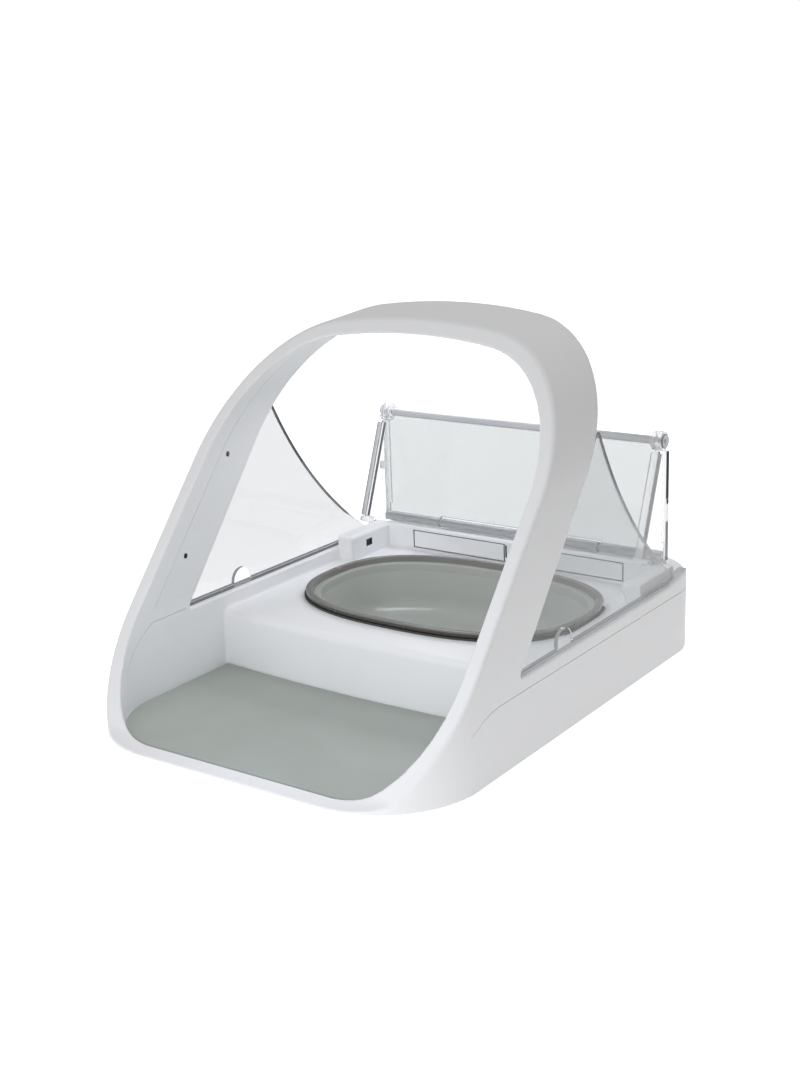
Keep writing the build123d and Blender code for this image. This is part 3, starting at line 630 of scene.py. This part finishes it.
def inner_wall(y):
    """Half width of the room inside the ring at depth y."""
    w, r = HALF_W - RING_T, FRONT_R - RING_T
    if y >= FRONT_R:
        return w
    return w - r + math.sqrt(max(r * r - (FRONT_R - y) ** 2, 0.0))


def wall_line_tool(sx, path, half=0.17, deep=0.7):
    """A thin groove along the inner side wall, from the lining's foot down towards the tray."""
    pts = subdivide_line(profile(path, [0.0] + [3.0] * (len(path) - 2) + [0.0], 5), 1.5)
    rings = []
    for i, p in enumerate(pts):
        t = pts[min(i + 1, len(pts) - 1)] - pts[max(i - 1, 0)]
        t = t / np.linalg.norm(t)
        n = np.array([-t[1], t[0]])
        h = half * min(1.0, 0.25 + (len(pts) - 1 - i) / 8.0)
        (ya, za), (yb, zb) = p + n * h, p - n * h
        rings.append([
            (sx * (inner_wall(ya) - 1.0), ya, za), (sx * (inner_wall(ya) + deep), ya, za),
            (sx * (inner_wall(yb) + deep), yb, zb), (sx * (inner_wall(yb) - 1.0), yb, zb),
        ])
    return ribbon("wall_line", rings)


def box_tool(x0, y0, z0, x1, y1, z1):
    q = [(x0, y0), (x1, y0), (x1, y1), (x0, y1)]
    return ribbon("box_tool", [[(x, y, z0) for x, y in q], [(x, y, z1) for x, y in q]])


housing = new_object(
    "feeder_housing",
    field_mesh(housing_field, (-118.5, -2.0, -0.6), (118.5, 322.2, 217.0), PITCH, "feeder_housing"),
)
print("housing quads", len(housing.data.polygons))
mod = housing.modifiers.new("thin", "DECIMATE")
mod.ratio = 0.45
baked(housing)
print("thinned", len(housing.data.polygons))
cover = new_object("arch_lining", housing.data.copy())
wall = new_object("lower_wall", housing.data.copy())
tool = lower_wall_tool(0.0)
cut(wall, tool, "INTERSECT")
drop(tool)
tool = lower_wall_tool(GROOVE)
cut(housing, tool)
drop(tool)
tool = cover_tool(GROOVE)
cut(housing, tool)
drop(tool)
tool = cover_tool(0.0)
cut(cover, tool, "INTERSECT")
drop(tool)
for x in (-1, 1):
    for y, z in ((138.1, 131.0), (96.3, 79.2)):
        tool = tube_tool("bore", (x * 105.0, y, z), (x * 113.0, y, z), 1.75)
        cut(cover, tool)
        drop(tool)
for x, z, bore in ((-32.0, 22.0, 6.3), (0.0, 22.0, 6.3), (32.0, 22.0, 6.3), (16.0, 31.0, 1.55)):
    tool = tube_tool("bore", (x, 312.0, z), (x, 324.0, z), bore)
    cut(wall, tool)
    drop(tool)
HATCHES = (("hatch_left", -76.5, -7.2), ("hatch_right", 17.0, 76.5))
tools = [wall_line_tool(sx, [(93.0, 48.3), (64.7, 47.6), (54.2, 40.8), (45.6, 34.0), (36.8, 22.7)]) for sx in (-1, 1)]
tools += [box_tool(sx * 96.6, 256.5, 44.6, sx * 98.9, 263.0, 49.2) for sx in (-1, 1)]
tools += [box_tool(x0 - 1.3, 282.0, 40.0, x1 + 0.5, 284.9, 52.1) for _, x0, x1 in HATCHES]
tools += [
    box_tool(GEAR_X0 - 1.2, 281.0, 51.4, GEAR_X1 + 1.2, 296.0, 70.0),
    box_tool(GEAR_X0 - 1.2, 284.6, 40.0, GEAR_X1 + 1.2, 295.9, 53.0),
    box_tool(-6.3, 281.0, 43.2, -5.2, 287.0, 51.3),
]
for tool in tools:
    cut(housing, tool)
    drop(tool)
field_normals(housing, housing_field)
field_normals(cover, housing_field)
field_normals(wall, housing_field)


def base_piece():
    """The lower moulding: its outer wall from the field, everything inside it from the CAD solid."""
    core = new_object("feeder_base", NODES["lower_housing"].data.copy())
    bm = bmesh.new()
    bm.from_mesh(core.data)
    bmesh.ops.remove_doubles(bm, verts=bm.verts, dist=2e-6)
    bmesh.ops.recalc_face_normals(bm, faces=bm.faces)
    bm.to_mesh(core.data)
    bm.free()
    edge = plan_path(1.3, SEAM_Y0 + 1.2)
    tool = ribbon("inside", [[(x, y, -4.0) for x, y in edge], [(x, y, 60.0) for x, y in edge]])
    cut(core, tool, "INTERSECT")
    drop(tool)
    core.data.polygons.foreach_set("use_smooth", [False] * len(core.data.polygons))
    return core


core = base_piece()
paint(core, WHITE)
paint(wall, WHITE)
with bpy.context.temp_override(active_object=core, selected_editable_objects=[core, wall]):
    bpy.ops.object.join()
base = core
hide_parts("lower_housing")
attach(base, "root")
paint(cover, COVER)
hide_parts("arch_inner_cover")
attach(cover, "root")


def shadowed(o):
    """Painted shadow inside the small slots and painted shade in the gaps behind the hatches' edges."""
    me = o.data
    c = np.empty(len(me.polygons) * 3)
    me.polygons.foreach_get("center", c)
    c = c.reshape(-1, 3) * 1000.0 - np.array(SHIFT)
    ax, y, z = np.abs(c[:, 0]), c[:, 1], c[:, 2]
    slot = (ax > 97.65) & (ax < 99.0) & (y > 256.4) & (y < 263.1) & (z > 44.5) & (z < 49.3)
    slot |= (c[:, 0] > -6.35) & (c[:, 0] < -5.15) & (y > REAR_WALL_Y + 0.1) & (y < 287.1) & (z > 43.1) & (z < 51.4)
    gap = np.zeros(len(c), bool)
    for _, x0, x1 in HATCHES:
        gap |= (c[:, 0] > x0 - 1.4) & (c[:, 0] < x1 + 0.6) & (y > REAR_WALL_Y + 0.15) & (y < 285.0) & (z > 39.9) & (z < 52.2)
    me.polygons.foreach_set("material_index", np.where(slot, 1, np.where(gap, 2, 0)).astype(np.int32))
    me.update()


paint(housing, WHITE, SLOT_PAINTED_SHADOW, GAP_PAINTED_SHADE)
shadowed(housing)
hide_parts("upper_housing", "arch_shell")
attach(housing, "root")

# ------------------------------------------------------------------ bowl
def oval_ring(a, b, z, n=2.6, count=144):
    pts = []
    for i in range(count):
        t = 2 * math.pi * i / count
        # even spacing round the oval
        c, s = math.cos(t), math.sin(t)
        k = (abs(c / a) ** n + abs(s / b) ** n) ** (-1.0 / n)
        pts.append((k * c, BOWL_Y + k * s, z))
    return pts


def make_bowl():
    # (inset from the rim's edge, height), from the middle of the inside out over the rim and under
    line = profile(
        [(60.0, 11.6), (32.0, 11.7), (20.5, 15.8), (13.6, 27.0), (7.6, 37.6), (4.9, 38.2), (3.4, 42.6), (0.0, 42.6), (0.0, 39.3), (7.8, 39.3), (12.6, 24.0), (19.0, 13.6), (30.0, 9.5), (60.0, 9.4)],
        [0, 26, 22, 40, 2.2, 0.9, 1.0, 1.0, 0.8, 1.0, 16, 20, 26, 0],
        7,
    )
    line = subdivide_line(line, 4.0)
    rings = []
    for d, z in line:
        rings.append(oval_ring(BOWL_A - d, BOWL_B - d, z, 2.6 - 0.5 * min(1.0, d / 55.0)))
    k = len(rings[0])
    pts = [p for r in rings for p in r]
    faces, side = [], []
    for i in range(len(rings) - 1):
        (d0, z0), (d1, z1) = line[i], line[i + 1]
        dm, zm = (d0 + d1) / 2, (z0 + z1) / 2
        # The rim's outer side takes the near-black: partly its own dark tone, partly painted shade of the gap at its
        # foot.
        if dm < 1.0 and zm < 41.7:
            band = 1                            # the dark outer side of the rim
        elif dm < 5.3 and zm > 37.9 and i < len(line) * 0.62:
            band = 2                            # its top and upright inner lip
        else:
            band = 0
        for j in range(k):
            faces.append((i * k + j, i * k + (j + 1) % k, (i + 1) * k + (j + 1) % k, (i + 1) * k + j))
            side.append(band)
    top, low = len(pts), len(pts) + 1
    pts += [(0, BOWL_Y, line[0][1]), (0, BOWL_Y, line[-1][1])]
    last = (len(rings) - 1) * k
    for j in range(k):
        faces.append((top, (j + 1) % k, j))
        faces.append((low, last + j, last + (j + 1) % k))
        side += [0, 0]
    me = mesh_from("feeder_bowl", pts, faces)
    me.polygons.foreach_set("material_index", side)
    o = new_object("feeder_bowl", me)
    bm = bmesh.new()
    bm.from_mesh(me)
    bmesh.ops.recalc_face_normals(bm, faces=bm.faces)
    bm.to_mesh(me)
    bm.free()
    me.polygons.foreach_set("use_smooth", [True] * len(me.polygons))
    return o


bowl = make_bowl()
bowl.data.materials.append(BOWL)
bowl.data.materials.append(BOWL_EDGE_DARK_AND_SHADE)
bowl.data.materials.append(BOWL_LIP)
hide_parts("bowl")
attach(bowl, "root")


# ------------------------------------------------------------------ mat
def make_mat():
    """The soft mat: a flat sheet with a rolled edge, its back cut to the step wall."""
    w, y0, r = HALF_W - 9.8, 9.8, FRONT_R - 9.8
    out = []
    back = lambda x: step_y(x) - 0.8
    n = 30
    for i in range(n + 1):                      # right front corner
        a = -math.pi / 2 + math.pi / 2 * i / n
        out.append((w - r + r * math.cos(a), y0 + r + r * math.sin(a)))
    yb = back(w)
    for i in range(1, 25):
        out.append((w, y0 + r + (yb - y0 - r) * i / 24))
    for i in range(1, 49):
        x = w - 2 * w * i / 48
        out.append((x, back(x)))
    for i in range(1, 24):
        out.append((-w, yb + (y0 + r - yb) * i / 24))
    for i in range(n + 1):
        a = math.pi + math.pi / 2 * i / n
        out.append((-w + r + r * math.cos(a), y0 + r + r * math.sin(a)))
    for i in range(1, 30):
        out.append((-w + r + (2 * w - 2 * r) * i / 30, y0))
    c = np.array([0.0, 66.0])
    P = np.array(out)
    nxt, prv = np.roll(P, -1, 0), np.roll(P, 1, 0)
    t = nxt - prv
    nrm = np.stack([t[:, 1], -t[:, 0]], 1)
    nrm /= np.linalg.norm(nrm, axis=1)[:, None]
    rings = []
    for d, z in ((0.5, 2.82), (0.15, 2.95), (0.0, 3.3), (0.0, 3.75), (0.12, 4.05), (0.42, 4.28), (0.9, 4.38), (1.6, 4.4)):
        q = P - nrm * d
        rings.append([(x, y, z) for x, y in q])
    for s in (0.93, 0.8, 0.62, 0.42, 0.2):
        q = c + (P - nrm * 1.6 - c) * s
        rings.append([(x, y, 4.4) for x, y in q])
    k = len(P)
    pts = [p for r_ in rings for p in r_]
    faces = []
    for i in range(len(rings) - 1):
        for j in range(k):
            faces.append((i * k + j, i * k + (j + 1) % k, (i + 1) * k + (j + 1) % k, (i + 1) * k + j))
    pts += [(c[0], c[1], 4.4), (c[0], c[1], 2.82)]
    last = (len(rings) - 1) * k
    for j in range(k):
        faces.append((len(pts) - 2, last + j, last + (j + 1) % k))
        faces.append((len(pts) - 1, (j + 1) % k, j))
    me = mesh_from("feeder_mat", pts, faces)
    bm = bmesh.new()
    bm.from_mesh(me)
    bmesh.ops.recalc_face_normals(bm, faces=bm.faces)
    bm.to_mesh(me)
    bm.free()
    me.polygons.foreach_set("use_smooth", [True] * len(me.polygons))
    return new_object("feeder_mat", me)


mat = make_mat()
paint(mat, MAT)
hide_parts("mat")
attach(mat, "mat")


# ------------------------------------------------------------------ smaller parts with softened edges
def softened(node, body, name, width, finish, segments=2, angle=32.0, split_z=(), split_x=(), add=()):
    """A copy of a CAD node's mesh, joined with any added solids, its sharp edges rounded by width mm."""
    o = new_object(name, NODES[node].data.copy())
    me = o.data
    bm = bmesh.new()
    bm.from_mesh(me)
    bmesh.ops.remove_doubles(bm, verts=bm.verts, dist=2e-6)
    bmesh.ops.dissolve_degenerate(bm, dist=2e-6, edges=bm.edges)
    bmesh.ops.dissolve_limit(bm, angle_limit=math.radians(0.6), verts=bm.verts, edges=bm.edges)
    bmesh.ops.recalc_face_normals(bm, faces=bm.faces)
    bm.to_mesh(me)
    bm.free()
    if me.has_custom_normals:
        me.free_normals_split() if hasattr(me, "free_normals_split") else None
    for a in ("custom_normal", "sharp_edge", "sharp_face"):
        if a in me.attributes:
            me.attributes.remove(me.attributes[a])
    for tool in add:
        cut(o, tool, "UNION")
        drop(tool)
    me = o.data
    if add:
        bm = bmesh.new()
        bm.from_mesh(me)
        bmesh.ops.remove_doubles(bm, verts=bm.verts, dist=2e-6)
        bmesh.ops.dissolve_limit(bm, angle_limit=math.radians(0.6), verts=bm.verts, edges=bm.edges)
        bm.to_mesh(me)
        bm.free()
    me.polygons.foreach_set("use_smooth", [True] * len(me.polygons))
    m = o.modifiers.new("edge", "BEVEL")
    m.width, m.segments = width * 0.001, segments
    m.limit_method, m.angle_limit = "ANGLE", math.radians(angle)
    m.use_clamp_overlap = True
    m.miter_outer = "MITER_ARC"
    m.harden_normals = True
    baked(o)
    for at, normal in [((0, 0, z * 0.001), (0, 0, 1)) for z in split_z] + [((x * 0.001, 0, 0), (1, 0, 0)) for x in split_x]:
        bm = bmesh.new()
        bm.from_mesh(o.data)
        whole = bm.verts[:] + bm.edges[:] + bm.faces[:]
        bmesh.ops.bisect_plane(bm, geom=whole, plane_co=at, plane_no=normal)
        bm.to_mesh(o.data)
        bm.free()
    paint(o, finish)
    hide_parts(node)
    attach(o, body)
    return o


def edges(o, pick, *mats):
    """Further finishes, here painted reflection and shade tones, for the faces pick chooses: pick(normals, centres in
    mm) gives slot numbers.
    """
    me = o.data
    n, c = np.empty(len(me.polygons) * 3), np.empty(len(me.polygons) * 3)
    me.polygons.foreach_get("normal", n)
    me.polygons.foreach_get("center", c)
    for m in mats:
        me.materials.append(m)
    which = pick(n.reshape(-1, 3), c.reshape(-1, 3) * 1000.0 - np.array(SHIFT))
    me.polygons.foreach_set("material_index", which.astype(np.int32))
    me.update()


SWING = math.atan2(HINGE_Y - FOOT_Y, FOLD_Z - FOOT_Z)


def near_fold(c, r):
    return np.hypot(c[:, 1] - HINGE_Y, c[:, 2] - FOLD_Z) < r


def barrel_painted_bands(c, dark, light):
    """Painted bands along the hinge: two darker ones, the lower a painted contact shadow and the upper painted shading,
    with a lighter one between them; the crown takes the lighter tone too.
    """
    z = c[:, 2]
    return np.where((z < 56.6) | ((z > 59.2) & (z < 60.8)), dark, light)


# Painted reflections on the rear leaf's edges: black, pale and mid grey down the right edge's outer face, pale
# elsewhere on the edges, pale painted light near the fold and painted bands on the barrels.
def back_leaf_slots(n, c):
    x, y, z = c.T
    side = np.abs(x) > 100.9
    right = np.where(n[:, 0] > 0.5, np.where(z > 91.0, 1, np.where(z > 80.0, 4, 2)), 4)
    out = np.where(np.abs(n[:, 1]) > 0.8, 0, 4)
    out = np.where(side, np.where(x > 0.0, right, 4), out)
    out = np.where(near_fold(c, 7.2), 5, out)
    barrel = np.hypot(y - HINGE_Y, z - HINGE_Z) < 3.6
    return np.where(barrel, barrel_painted_bands(c, 3, 4), out)


# Painted reflections on the front leaf's edges, toned differently on the left and right arms, with pale painted light
# near the fold and soft grey on its underside.
def front_leaf_slots(n, c):
    facing = n[:, 1] * math.cos(SWING) - n[:, 2] * math.sin(SWING)
    x = c[:, 0]
    arm = np.abs(x) > 96.5
    front, back = facing < -0.8, facing > 0.8
    left = np.where(front, np.where(x < -101.0, 3, 4), np.where(back, 4, 2))
    right = np.where(front, np.where(x < 97.7, 3, 4), np.where(back, 4, 3))
    out = np.where(front | back, 0, 4)
    out = np.where(arm, np.where(x < 0.0, left, right), out)
    return np.where(near_fold(c, 7.2), np.where(n[:, 2] < -0.4, 3, 5), out)


def arm_bar(sx):
    """The front leaf's stiff edge, hanging from the fold down to the guide foot."""
    drop_z = math.hypot(HINGE_Y - FOOT_Y, FOLD_Z - FOOT_Z)
    c, s = math.cos(SWING), math.sin(SWING)
    rings = []
    for h in (-8.0, -(drop_z - 1.6)):
        q = [(96.9, -5.2), (102.1, -5.2), (102.1, -0.45), (96.9, -0.45)]
        rings.append([(sx * x, HINGE_Y + y * c + h * s, FOLD_Z - y * s + h * c) for x, y in q])
    return ribbon("arm_bar", rings)


edge_bars = [box_tool(min(sx * 101.0, sx * 103.1), HINGE_Y + 0.45, HINGE_Z - 2.6, max(sx * 101.0, sx * 103.1), HINGE_Y + 4.15, FOLD_Z - 6.4) for sx in (-1, 1)]
edge_bars.append(box_tool(-107.0, HINGE_Y + 0.7, 89.6, -102.6, HINGE_Y + 3.1, 94.4))
# The leaves are cut at given heights and widths so that the painted reflection tones change there.
o = softened("lid_rear_panel", "lid_rear", "lid_back_leaf", 0.35, CLEAR, split_z=(91.0, 80.0), add=edge_bars)
edges(o, back_leaf_slots, EDGE_REFLECT_BLACK, EDGE_REFLECT_MID, EDGE_REFLECT_SOFT, EDGE_REFLECT_PALE, KNOB_PAINTED_LIGHT)
o = softened("lid_front_panel", "lid_front", "lid_front_leaf", 0.35, CLEAR, split_x=(-101.0, 97.7), add=[arm_bar(-1), arm_bar(1)])
edges(o, front_leaf_slots, EDGE_REFLECT_DARK, EDGE_REFLECT_MID, EDGE_REFLECT_SOFT, EDGE_REFLECT_PALE, KNOB_PAINTED_LIGHT)
# The guide feet take the pale painted reflection tone all over.
softened("lid_feet", "lid_front", "lid_guide_feet", 0.4, EDGE_REFLECT_PALE)


def make_guard(sx):
    """Clear side guard: a plate with a curved rear edge on a flat rail, with a round stop."""
    def arc(a, m, b, count=48):
        (ax, ay), (mx, my), (bx, by) = a, m, b
        d = 2 * (ax * (my - by) + mx * (by - ay) + bx * (ay - my))
        ux = ((ax**2 + ay**2) * (my - by) + (mx**2 + my**2) * (by - ay) + (bx**2 + by**2) * (ay - my)) / d
        uy = ((ax**2 + ay**2) * (bx - mx) + (mx**2 + my**2) * (ax - bx) + (bx**2 + by**2) * (mx - ax)) / d
        r_ = math.hypot(ax - ux, ay - uy)
        t0, t1 = math.atan2(ay - uy, ax - ux), math.atan2(by - uy, bx - ux)
        if t1 - t0 > math.pi:
            t1 -= 2 * math.pi
        if t0 - t1 > math.pi:
            t1 += 2 * math.pi
        return [(ux + r_ * math.cos(t0 + (t1 - t0) * i / count), uy + r_ * math.sin(t0 + (t1 - t0) * i / count)) for i in range(count + 1)]

    back = lambda z: BACK_Y0 + BACK_LEAN * z
    outline = arc((281.0, 48.0), (224.0, 97.0), (back(156.0) + 1.0, 156.0))
    outline += [(back(156.0) - 1.6, 156.0), (back(RIM_Z + 0.3) - 1.6, RIM_Z + 0.3)]
    plate = ribbon("guard_plate", [[(sx * x, y, z) for y, z in outline] for x in (112.6, 114.6)])
    rail_line = [(back(RIM_Z) - 1.4, RIM_Z + 0.05), (266.0, RIM_Z + 0.05), (288.0, BACK_TOP_Z + 0.05), (292.0, BACK_TOP_Z + 0.05), (292.0, BACK_TOP_Z + 1.6), (287.6, BACK_TOP_Z + 1.6), (270.0, RIM_Z + 1.8), (back(RIM_Z) - 1.4, RIM_Z + 1.8)]
    rail = ribbon("guard_rail", [[(sx * x, y, z) for y, z in rail_line] for x in (111.0, 115.5)])
    ring = [(147.0 + 8.0 * math.cos(t), 50.2 + 8.0 * math.sin(t)) for t in [2 * math.pi * i / 64 for i in range(64)]]
    ring = [(y, max(z, RIM_Z + 0.2)) for y, z in ring]
    stop = ribbon("guard_stop", [[(sx * x, y, z) for y, z in ring] for x in (110.4, 112.7)])
    path = [np.array([sx * 113.6, y, z]) for y, z in outline[:49]]
    rings = []
    for i, p in enumerate(path):
        t = path[min(i + 1, 48)] - path[max(i - 1, 0)]
        t = t / np.linalg.norm(t)
        u = np.array([1.0, 0.0, 0.0])
        v = np.cross(t, u)
        w_ = 1.0 + 0.2 * float(smooth((p[2] - 60.0) / 14.0))
        rings.append([tuple(p + w_ * (math.cos(a) * u + math.sin(a) * v)) for a in [2 * math.pi * k / 14 for k in range(14)]])
    bead = ribbon("guard_bead", rings)
    side = "left" if sx < 0 else "right"
    o = plate
    o.name = "guard_" + side
    cut(o, rail, "UNION")
    cut(o, stop, "UNION")
    cut(o, bead, "UNION")
    drop(rail, stop, bead)
    bm = bmesh.new()
    bm.from_mesh(o.data)
    bmesh.ops.remove_doubles(bm, verts=bm.verts, dist=1e-6)
    bmesh.ops.dissolve_limit(bm, angle_limit=math.radians(0.5), verts=bm.verts, edges=bm.edges)
    bm.to_mesh(o.data)
    bm.free()
    o.data.polygons.foreach_set("use_smooth", [True] * len(o.data.polygons))
    m = o.modifiers.new("edge", "BEVEL")
    m.width, m.segments, m.limit_method, m.angle_limit = 0.00025, 2, "ANGLE", math.radians(32)
    m.use_clamp_overlap, m.harden_normals = True, True
    baked(o)
    paint(o, CLEAR)
    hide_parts("side_guard_" + side)
    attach(o, "root")
    return o




# Painted tones on the guards: the left plate's sheet darker than the right as painted shade, and painted reflections on
# the bead, rail and stop that change with height and side.
def guard_slots(n, c):
    x, y, z = c.T
    plate = (np.abs(n[:, 0]) > 0.8) & (np.abs(np.abs(x) - 113.6) < 1.02) & (z > 49.0)
    bead = (z > 62.0) & ~plate
    stop = (z > 49.2) & (y < 160.0) & (y > 135.0)
    right = x > 0.0
    side = np.abs(n[:, 0]) > 0.8
    tones = np.where(right, np.where(z > 120.0, 2, np.where(z > 96.0, 4, 5)), np.where(z > 108.0, 1, np.where(z > 64.0, 2, 4)))
    low = np.where(stop, np.where(side, 3, 4), np.where(side, np.where(right, 5, 2), 5))
    return np.where(plate, np.where(right, 0, 6), np.where(bead, tones, low))


for sx in (-1, 1):
    edges(make_guard(sx), guard_slots, EDGE_REFLECT_DARK, EDGE_REFLECT_MID, GLASSY, EDGE_REFLECT_GREY, EDGE_REFLECT_SOFT, CLEAR_LEFT_SHADED)
# The hinge knuckles take soft grey with a pale band: painted contact shadow and painted shading on a clear part.
o = softened("hinge_barrels", "root", "hinge_knuckles", 0.3, EDGE_REFLECT_SOFT)
edges(o, lambda n, c: barrel_painted_bands(c, 0, 1), EDGE_REFLECT_PALE)
softened("fold_strip", "lid_rear", "fold_bar", 0.25, STRIP)
# The fold knobs take pale painted light on their sides and a painted dark ring on their rims.
o = softened("fold_pins", "lid_rear", "fold_knobs", 0.3, KNOB_PAINTED_LIGHT)
edges(o, lambda n, c: np.where(np.abs(n[:, 0]) > 0.8, 0, 1), EDGE_REFLECT_MID)
for side in ("left", "right"):
    softened("battery_door_" + side, "battery_door_" + side, "cell_door_" + side, 0.3, WHITE)
for node, name in (("add_pet_button", "button_left"), ("open_close_button", "button_middle"), ("training_button", "button_right")):
    softened(node, node, name, 0.5, BUTTON, segments=3)
softened("rubber_feet", "root", "foot_pads", 0.6, RUBBER, segments=3)
softened("hatch_left", "root", "wall_hatch_left", 0.3, WHITE)
softened("hatch_right", "root", "wall_hatch_right", 0.3, WHITE)

# ------------------------------------------------------------------ carried CAD nodes
FINISHES = {
    "lower_housing": WHITE, "proximity_sensors": BLACK, "antenna_coil": COPPER, "mat": MAT,
    "bowl_seal": SEAL, "bowl": BOWL, "lid_rear_panel": CLEAR, "rear_hinge_pin": STEEL,
    "fold_strip": STRIP, "fold_pins": GLASSY, "hinge_barrels": GLASSY, "lid_front_panel": CLEAR,
    "lid_feet": CLEAR, "lid_gear": NYLON, "drive_pinion": NYLON, "gearbox": WHITE, "drive_motor": CAN,
    "side_guard_left": CLEAR, "side_guard_right": CLEAR, "hatch_left": WHITE, "hatch_right": WHITE,
    "main_board": BOARD, "tact_switches": BLACK, "indicator_lens": LENS, "add_pet_button": BUTTON,
    "open_close_button": BUTTON, "training_button": BUTTON, "battery_cells": CELL,
    "battery_contacts": CONTACT, "battery_door_left": WHITE, "battery_door_right": WHITE,
    "rubber_feet": RUBBER, "housing_screws": SCREW,
}
for name, m in FINISHES.items():
    if not NODES[name].hide_render:
        paint(NODES[name], m)

# ------------------------------------------------------------------ floor, light, camera
def area(name, at, to, size, watts, colour=(1, 1, 1), size_y=None, gloss=False):
    l = bpy.data.lights.new(name, "AREA")
    l.energy, l.color = watts, colour
    l.shape = "RECTANGLE" if size_y else "SQUARE"
    l.size = size
    if size_y:
        l.size_y = size_y
    o = bpy.data.objects.new(name, l)
    scene.collection.objects.link(o)
    o.location = at
    o.rotation_euler = (Vector(to) - Vector(at)).to_track_quat("-Z", "Y").to_euler()
    o.visible_camera = o.visible_transmission = False
    o.visible_glossy = gloss
    return o


WORLD_LIGHT, WORLD_GLOSS, WORLD_THROUGH = 0.28, 0.5, 1.0
FLOOR_NEAR, FLOOR_SEEN = 0.39, 0.85


# The floor glows a little near the feeder, a painted bounce light that fades out by 0.75 m, and glows white where seen
# directly or through the clear parts.
def make_floor():
    me = bpy.data.meshes.new("floor")
    s = 9.0
    me.from_pydata([(-s, -s, 0), (s, -s, 0), (s, s, 0), (-s, s, 0)], [], [(0, 1, 2, 3)])
    o = new_object("floor", me)
    m = bpy.data.materials.new("floor_paper")
    nt = nodes_of(m)
    out = nt.nodes.new("ShaderNodeOutputMaterial")
    b = nt.nodes.new("ShaderNodeBsdfPrincipled")
    b.inputs["Base Color"].default_value = (0.93, 0.93, 0.93, 1)
    b.inputs["Roughness"].default_value = 0.9
    b.inputs["Emission Color"].default_value = (1, 1, 1, 1)
    path = nt.nodes.new("ShaderNodeLightPath")
    both = nt.nodes.new("ShaderNodeMath")
    both.operation = "MAXIMUM"
    nt.links.new(path.outputs["Is Camera Ray"], both.inputs[0])
    nt.links.new(path.outputs["Is Transmission Ray"], both.inputs[1])
    co = nt.nodes.new("ShaderNodeTexCoord")
    dist = nt.nodes.new("ShaderNodeVectorMath")
    dist.operation = "LENGTH"
    nt.links.new(co.outputs["Object"], dist.inputs[0])
    near = nt.nodes.new("ShaderNodeMapRange")
    near.interpolation_type = "SMOOTHSTEP"
    near.inputs["From Min"].default_value, near.inputs["From Max"].default_value = 0.15, 0.75
    near.inputs["To Min"].default_value, near.inputs["To Max"].default_value = FLOOR_NEAR, 0.0
    nt.links.new(dist.outputs["Value"], near.inputs["Value"])
    white = nt.nodes.new("ShaderNodeMix")
    nt.links.new(both.outputs[0], white.inputs["Factor"])
    nt.links.new(near.outputs["Result"], white.inputs["A"])
    white.inputs["B"].default_value = FLOOR_SEEN
    nt.links.new(white.outputs["Result"], b.inputs["Emission Strength"])
    nt.links.new(b.outputs[0], out.inputs["Surface"])
    me.materials.append(m)


make_floor()
world = bpy.data.worlds.new("studio")
scene.world = world
world.use_nodes = True
wt = world.node_tree
wt.nodes.clear()
wout = wt.nodes.new("ShaderNodeOutputWorld")
bg = wt.nodes.new("ShaderNodeBackground")
bg.inputs["Color"].default_value = (1, 1, 1, 1)
seen = wt.nodes.new("ShaderNodeLightPath")


def chosen(nt, pick, yes, no):
    """yes where pick is 1, no elsewhere; each a number or a socket."""
    n = nt.nodes.new("ShaderNodeMix")
    nt.links.new(pick, n.inputs["Factor"])
    for key, v in (("B", yes), ("A", no)):
        if isinstance(v, (int, float)):
            n.inputs[key].default_value = v
        else:
            nt.links.new(v, n.inputs[key])
    return n.outputs["Result"]


amount = chosen(wt, seen.outputs["Is Transmission Ray"], WORLD_THROUGH, WORLD_LIGHT)
amount = chosen(wt, seen.outputs["Is Glossy Ray"], WORLD_GLOSS, amount)
amount = chosen(wt, seen.outputs["Is Camera Ray"], 1.06, amount)
wt.links.new(amount, bg.inputs["Strength"])
wt.links.new(bg.outputs[0], wout.inputs["Surface"])

area("key", (-0.95, -2.05, 1.75), (0, 0, 0.08), 1.7, 11.2)
area("front", (0.55, -2.35, 0.35), (0, 0, 0.08), 1.2, 8.9)
area("top", (0.1, 0.5, 2.5), (0, 0, 0), 1.6, 8.5)
area("rear", (0.0, 2.4, 1.3), (0, 0, 0.08), 1.6, 18.7)
area("low_right", (0.30, -0.80, 0.15), (0.03, -0.12, 0.05), 0.35, 0.92)
area("over_bowl", (-0.05, 0.17, 0.18), (0.01, 0.03, 0.03), 0.14, 0.12, (0.96, 0.99, 1.05), 0.06, gloss=True)
area("in_tray", (0.03, -0.21, 0.10), (0, 0, 0.03), 0.12, 0.045, (0.90, 0.97, 1.14), 0.06)
area("under_crown", (0.0, 0.03, 0.165), (0, 0.03, 0), 0.12, 0.045, (0.95, 0.99, 1.06), 0.08)

cam = bpy.data.cameras.new("camera")
cam.sensor_fit = "AUTO"
cam.sensor_width = 36.0
cam.lens = 52.8
cam.clip_start, cam.clip_end = 0.01, 50.0
co = bpy.data.objects.new("camera", cam)
scene.collection.objects.link(co)
az, el, roll = math.radians(35.63), math.radians(15.99), math.radians(-2.0)
right = Vector((math.cos(az), math.sin(az), 0))
back = Vector((math.sin(az) * math.cos(el), -math.cos(az) * math.cos(el), math.sin(el)))
up = back.cross(right)
cr, sr = math.cos(roll), math.sin(roll)
X, Y = cr * right + sr * up, -sr * right + cr * up
M = Matrix((
    (X.x, Y.x, back.x, 0.49907),
    (X.y, Y.y, back.y, -0.6973),
    (X.z, Y.z, back.z, 0.33707),
    (0, 0, 0, 1),
))
co.matrix_world = M
scene.camera = co
scene.view_settings.view_transform = "Standard"

bpy.context.view_layer.update()
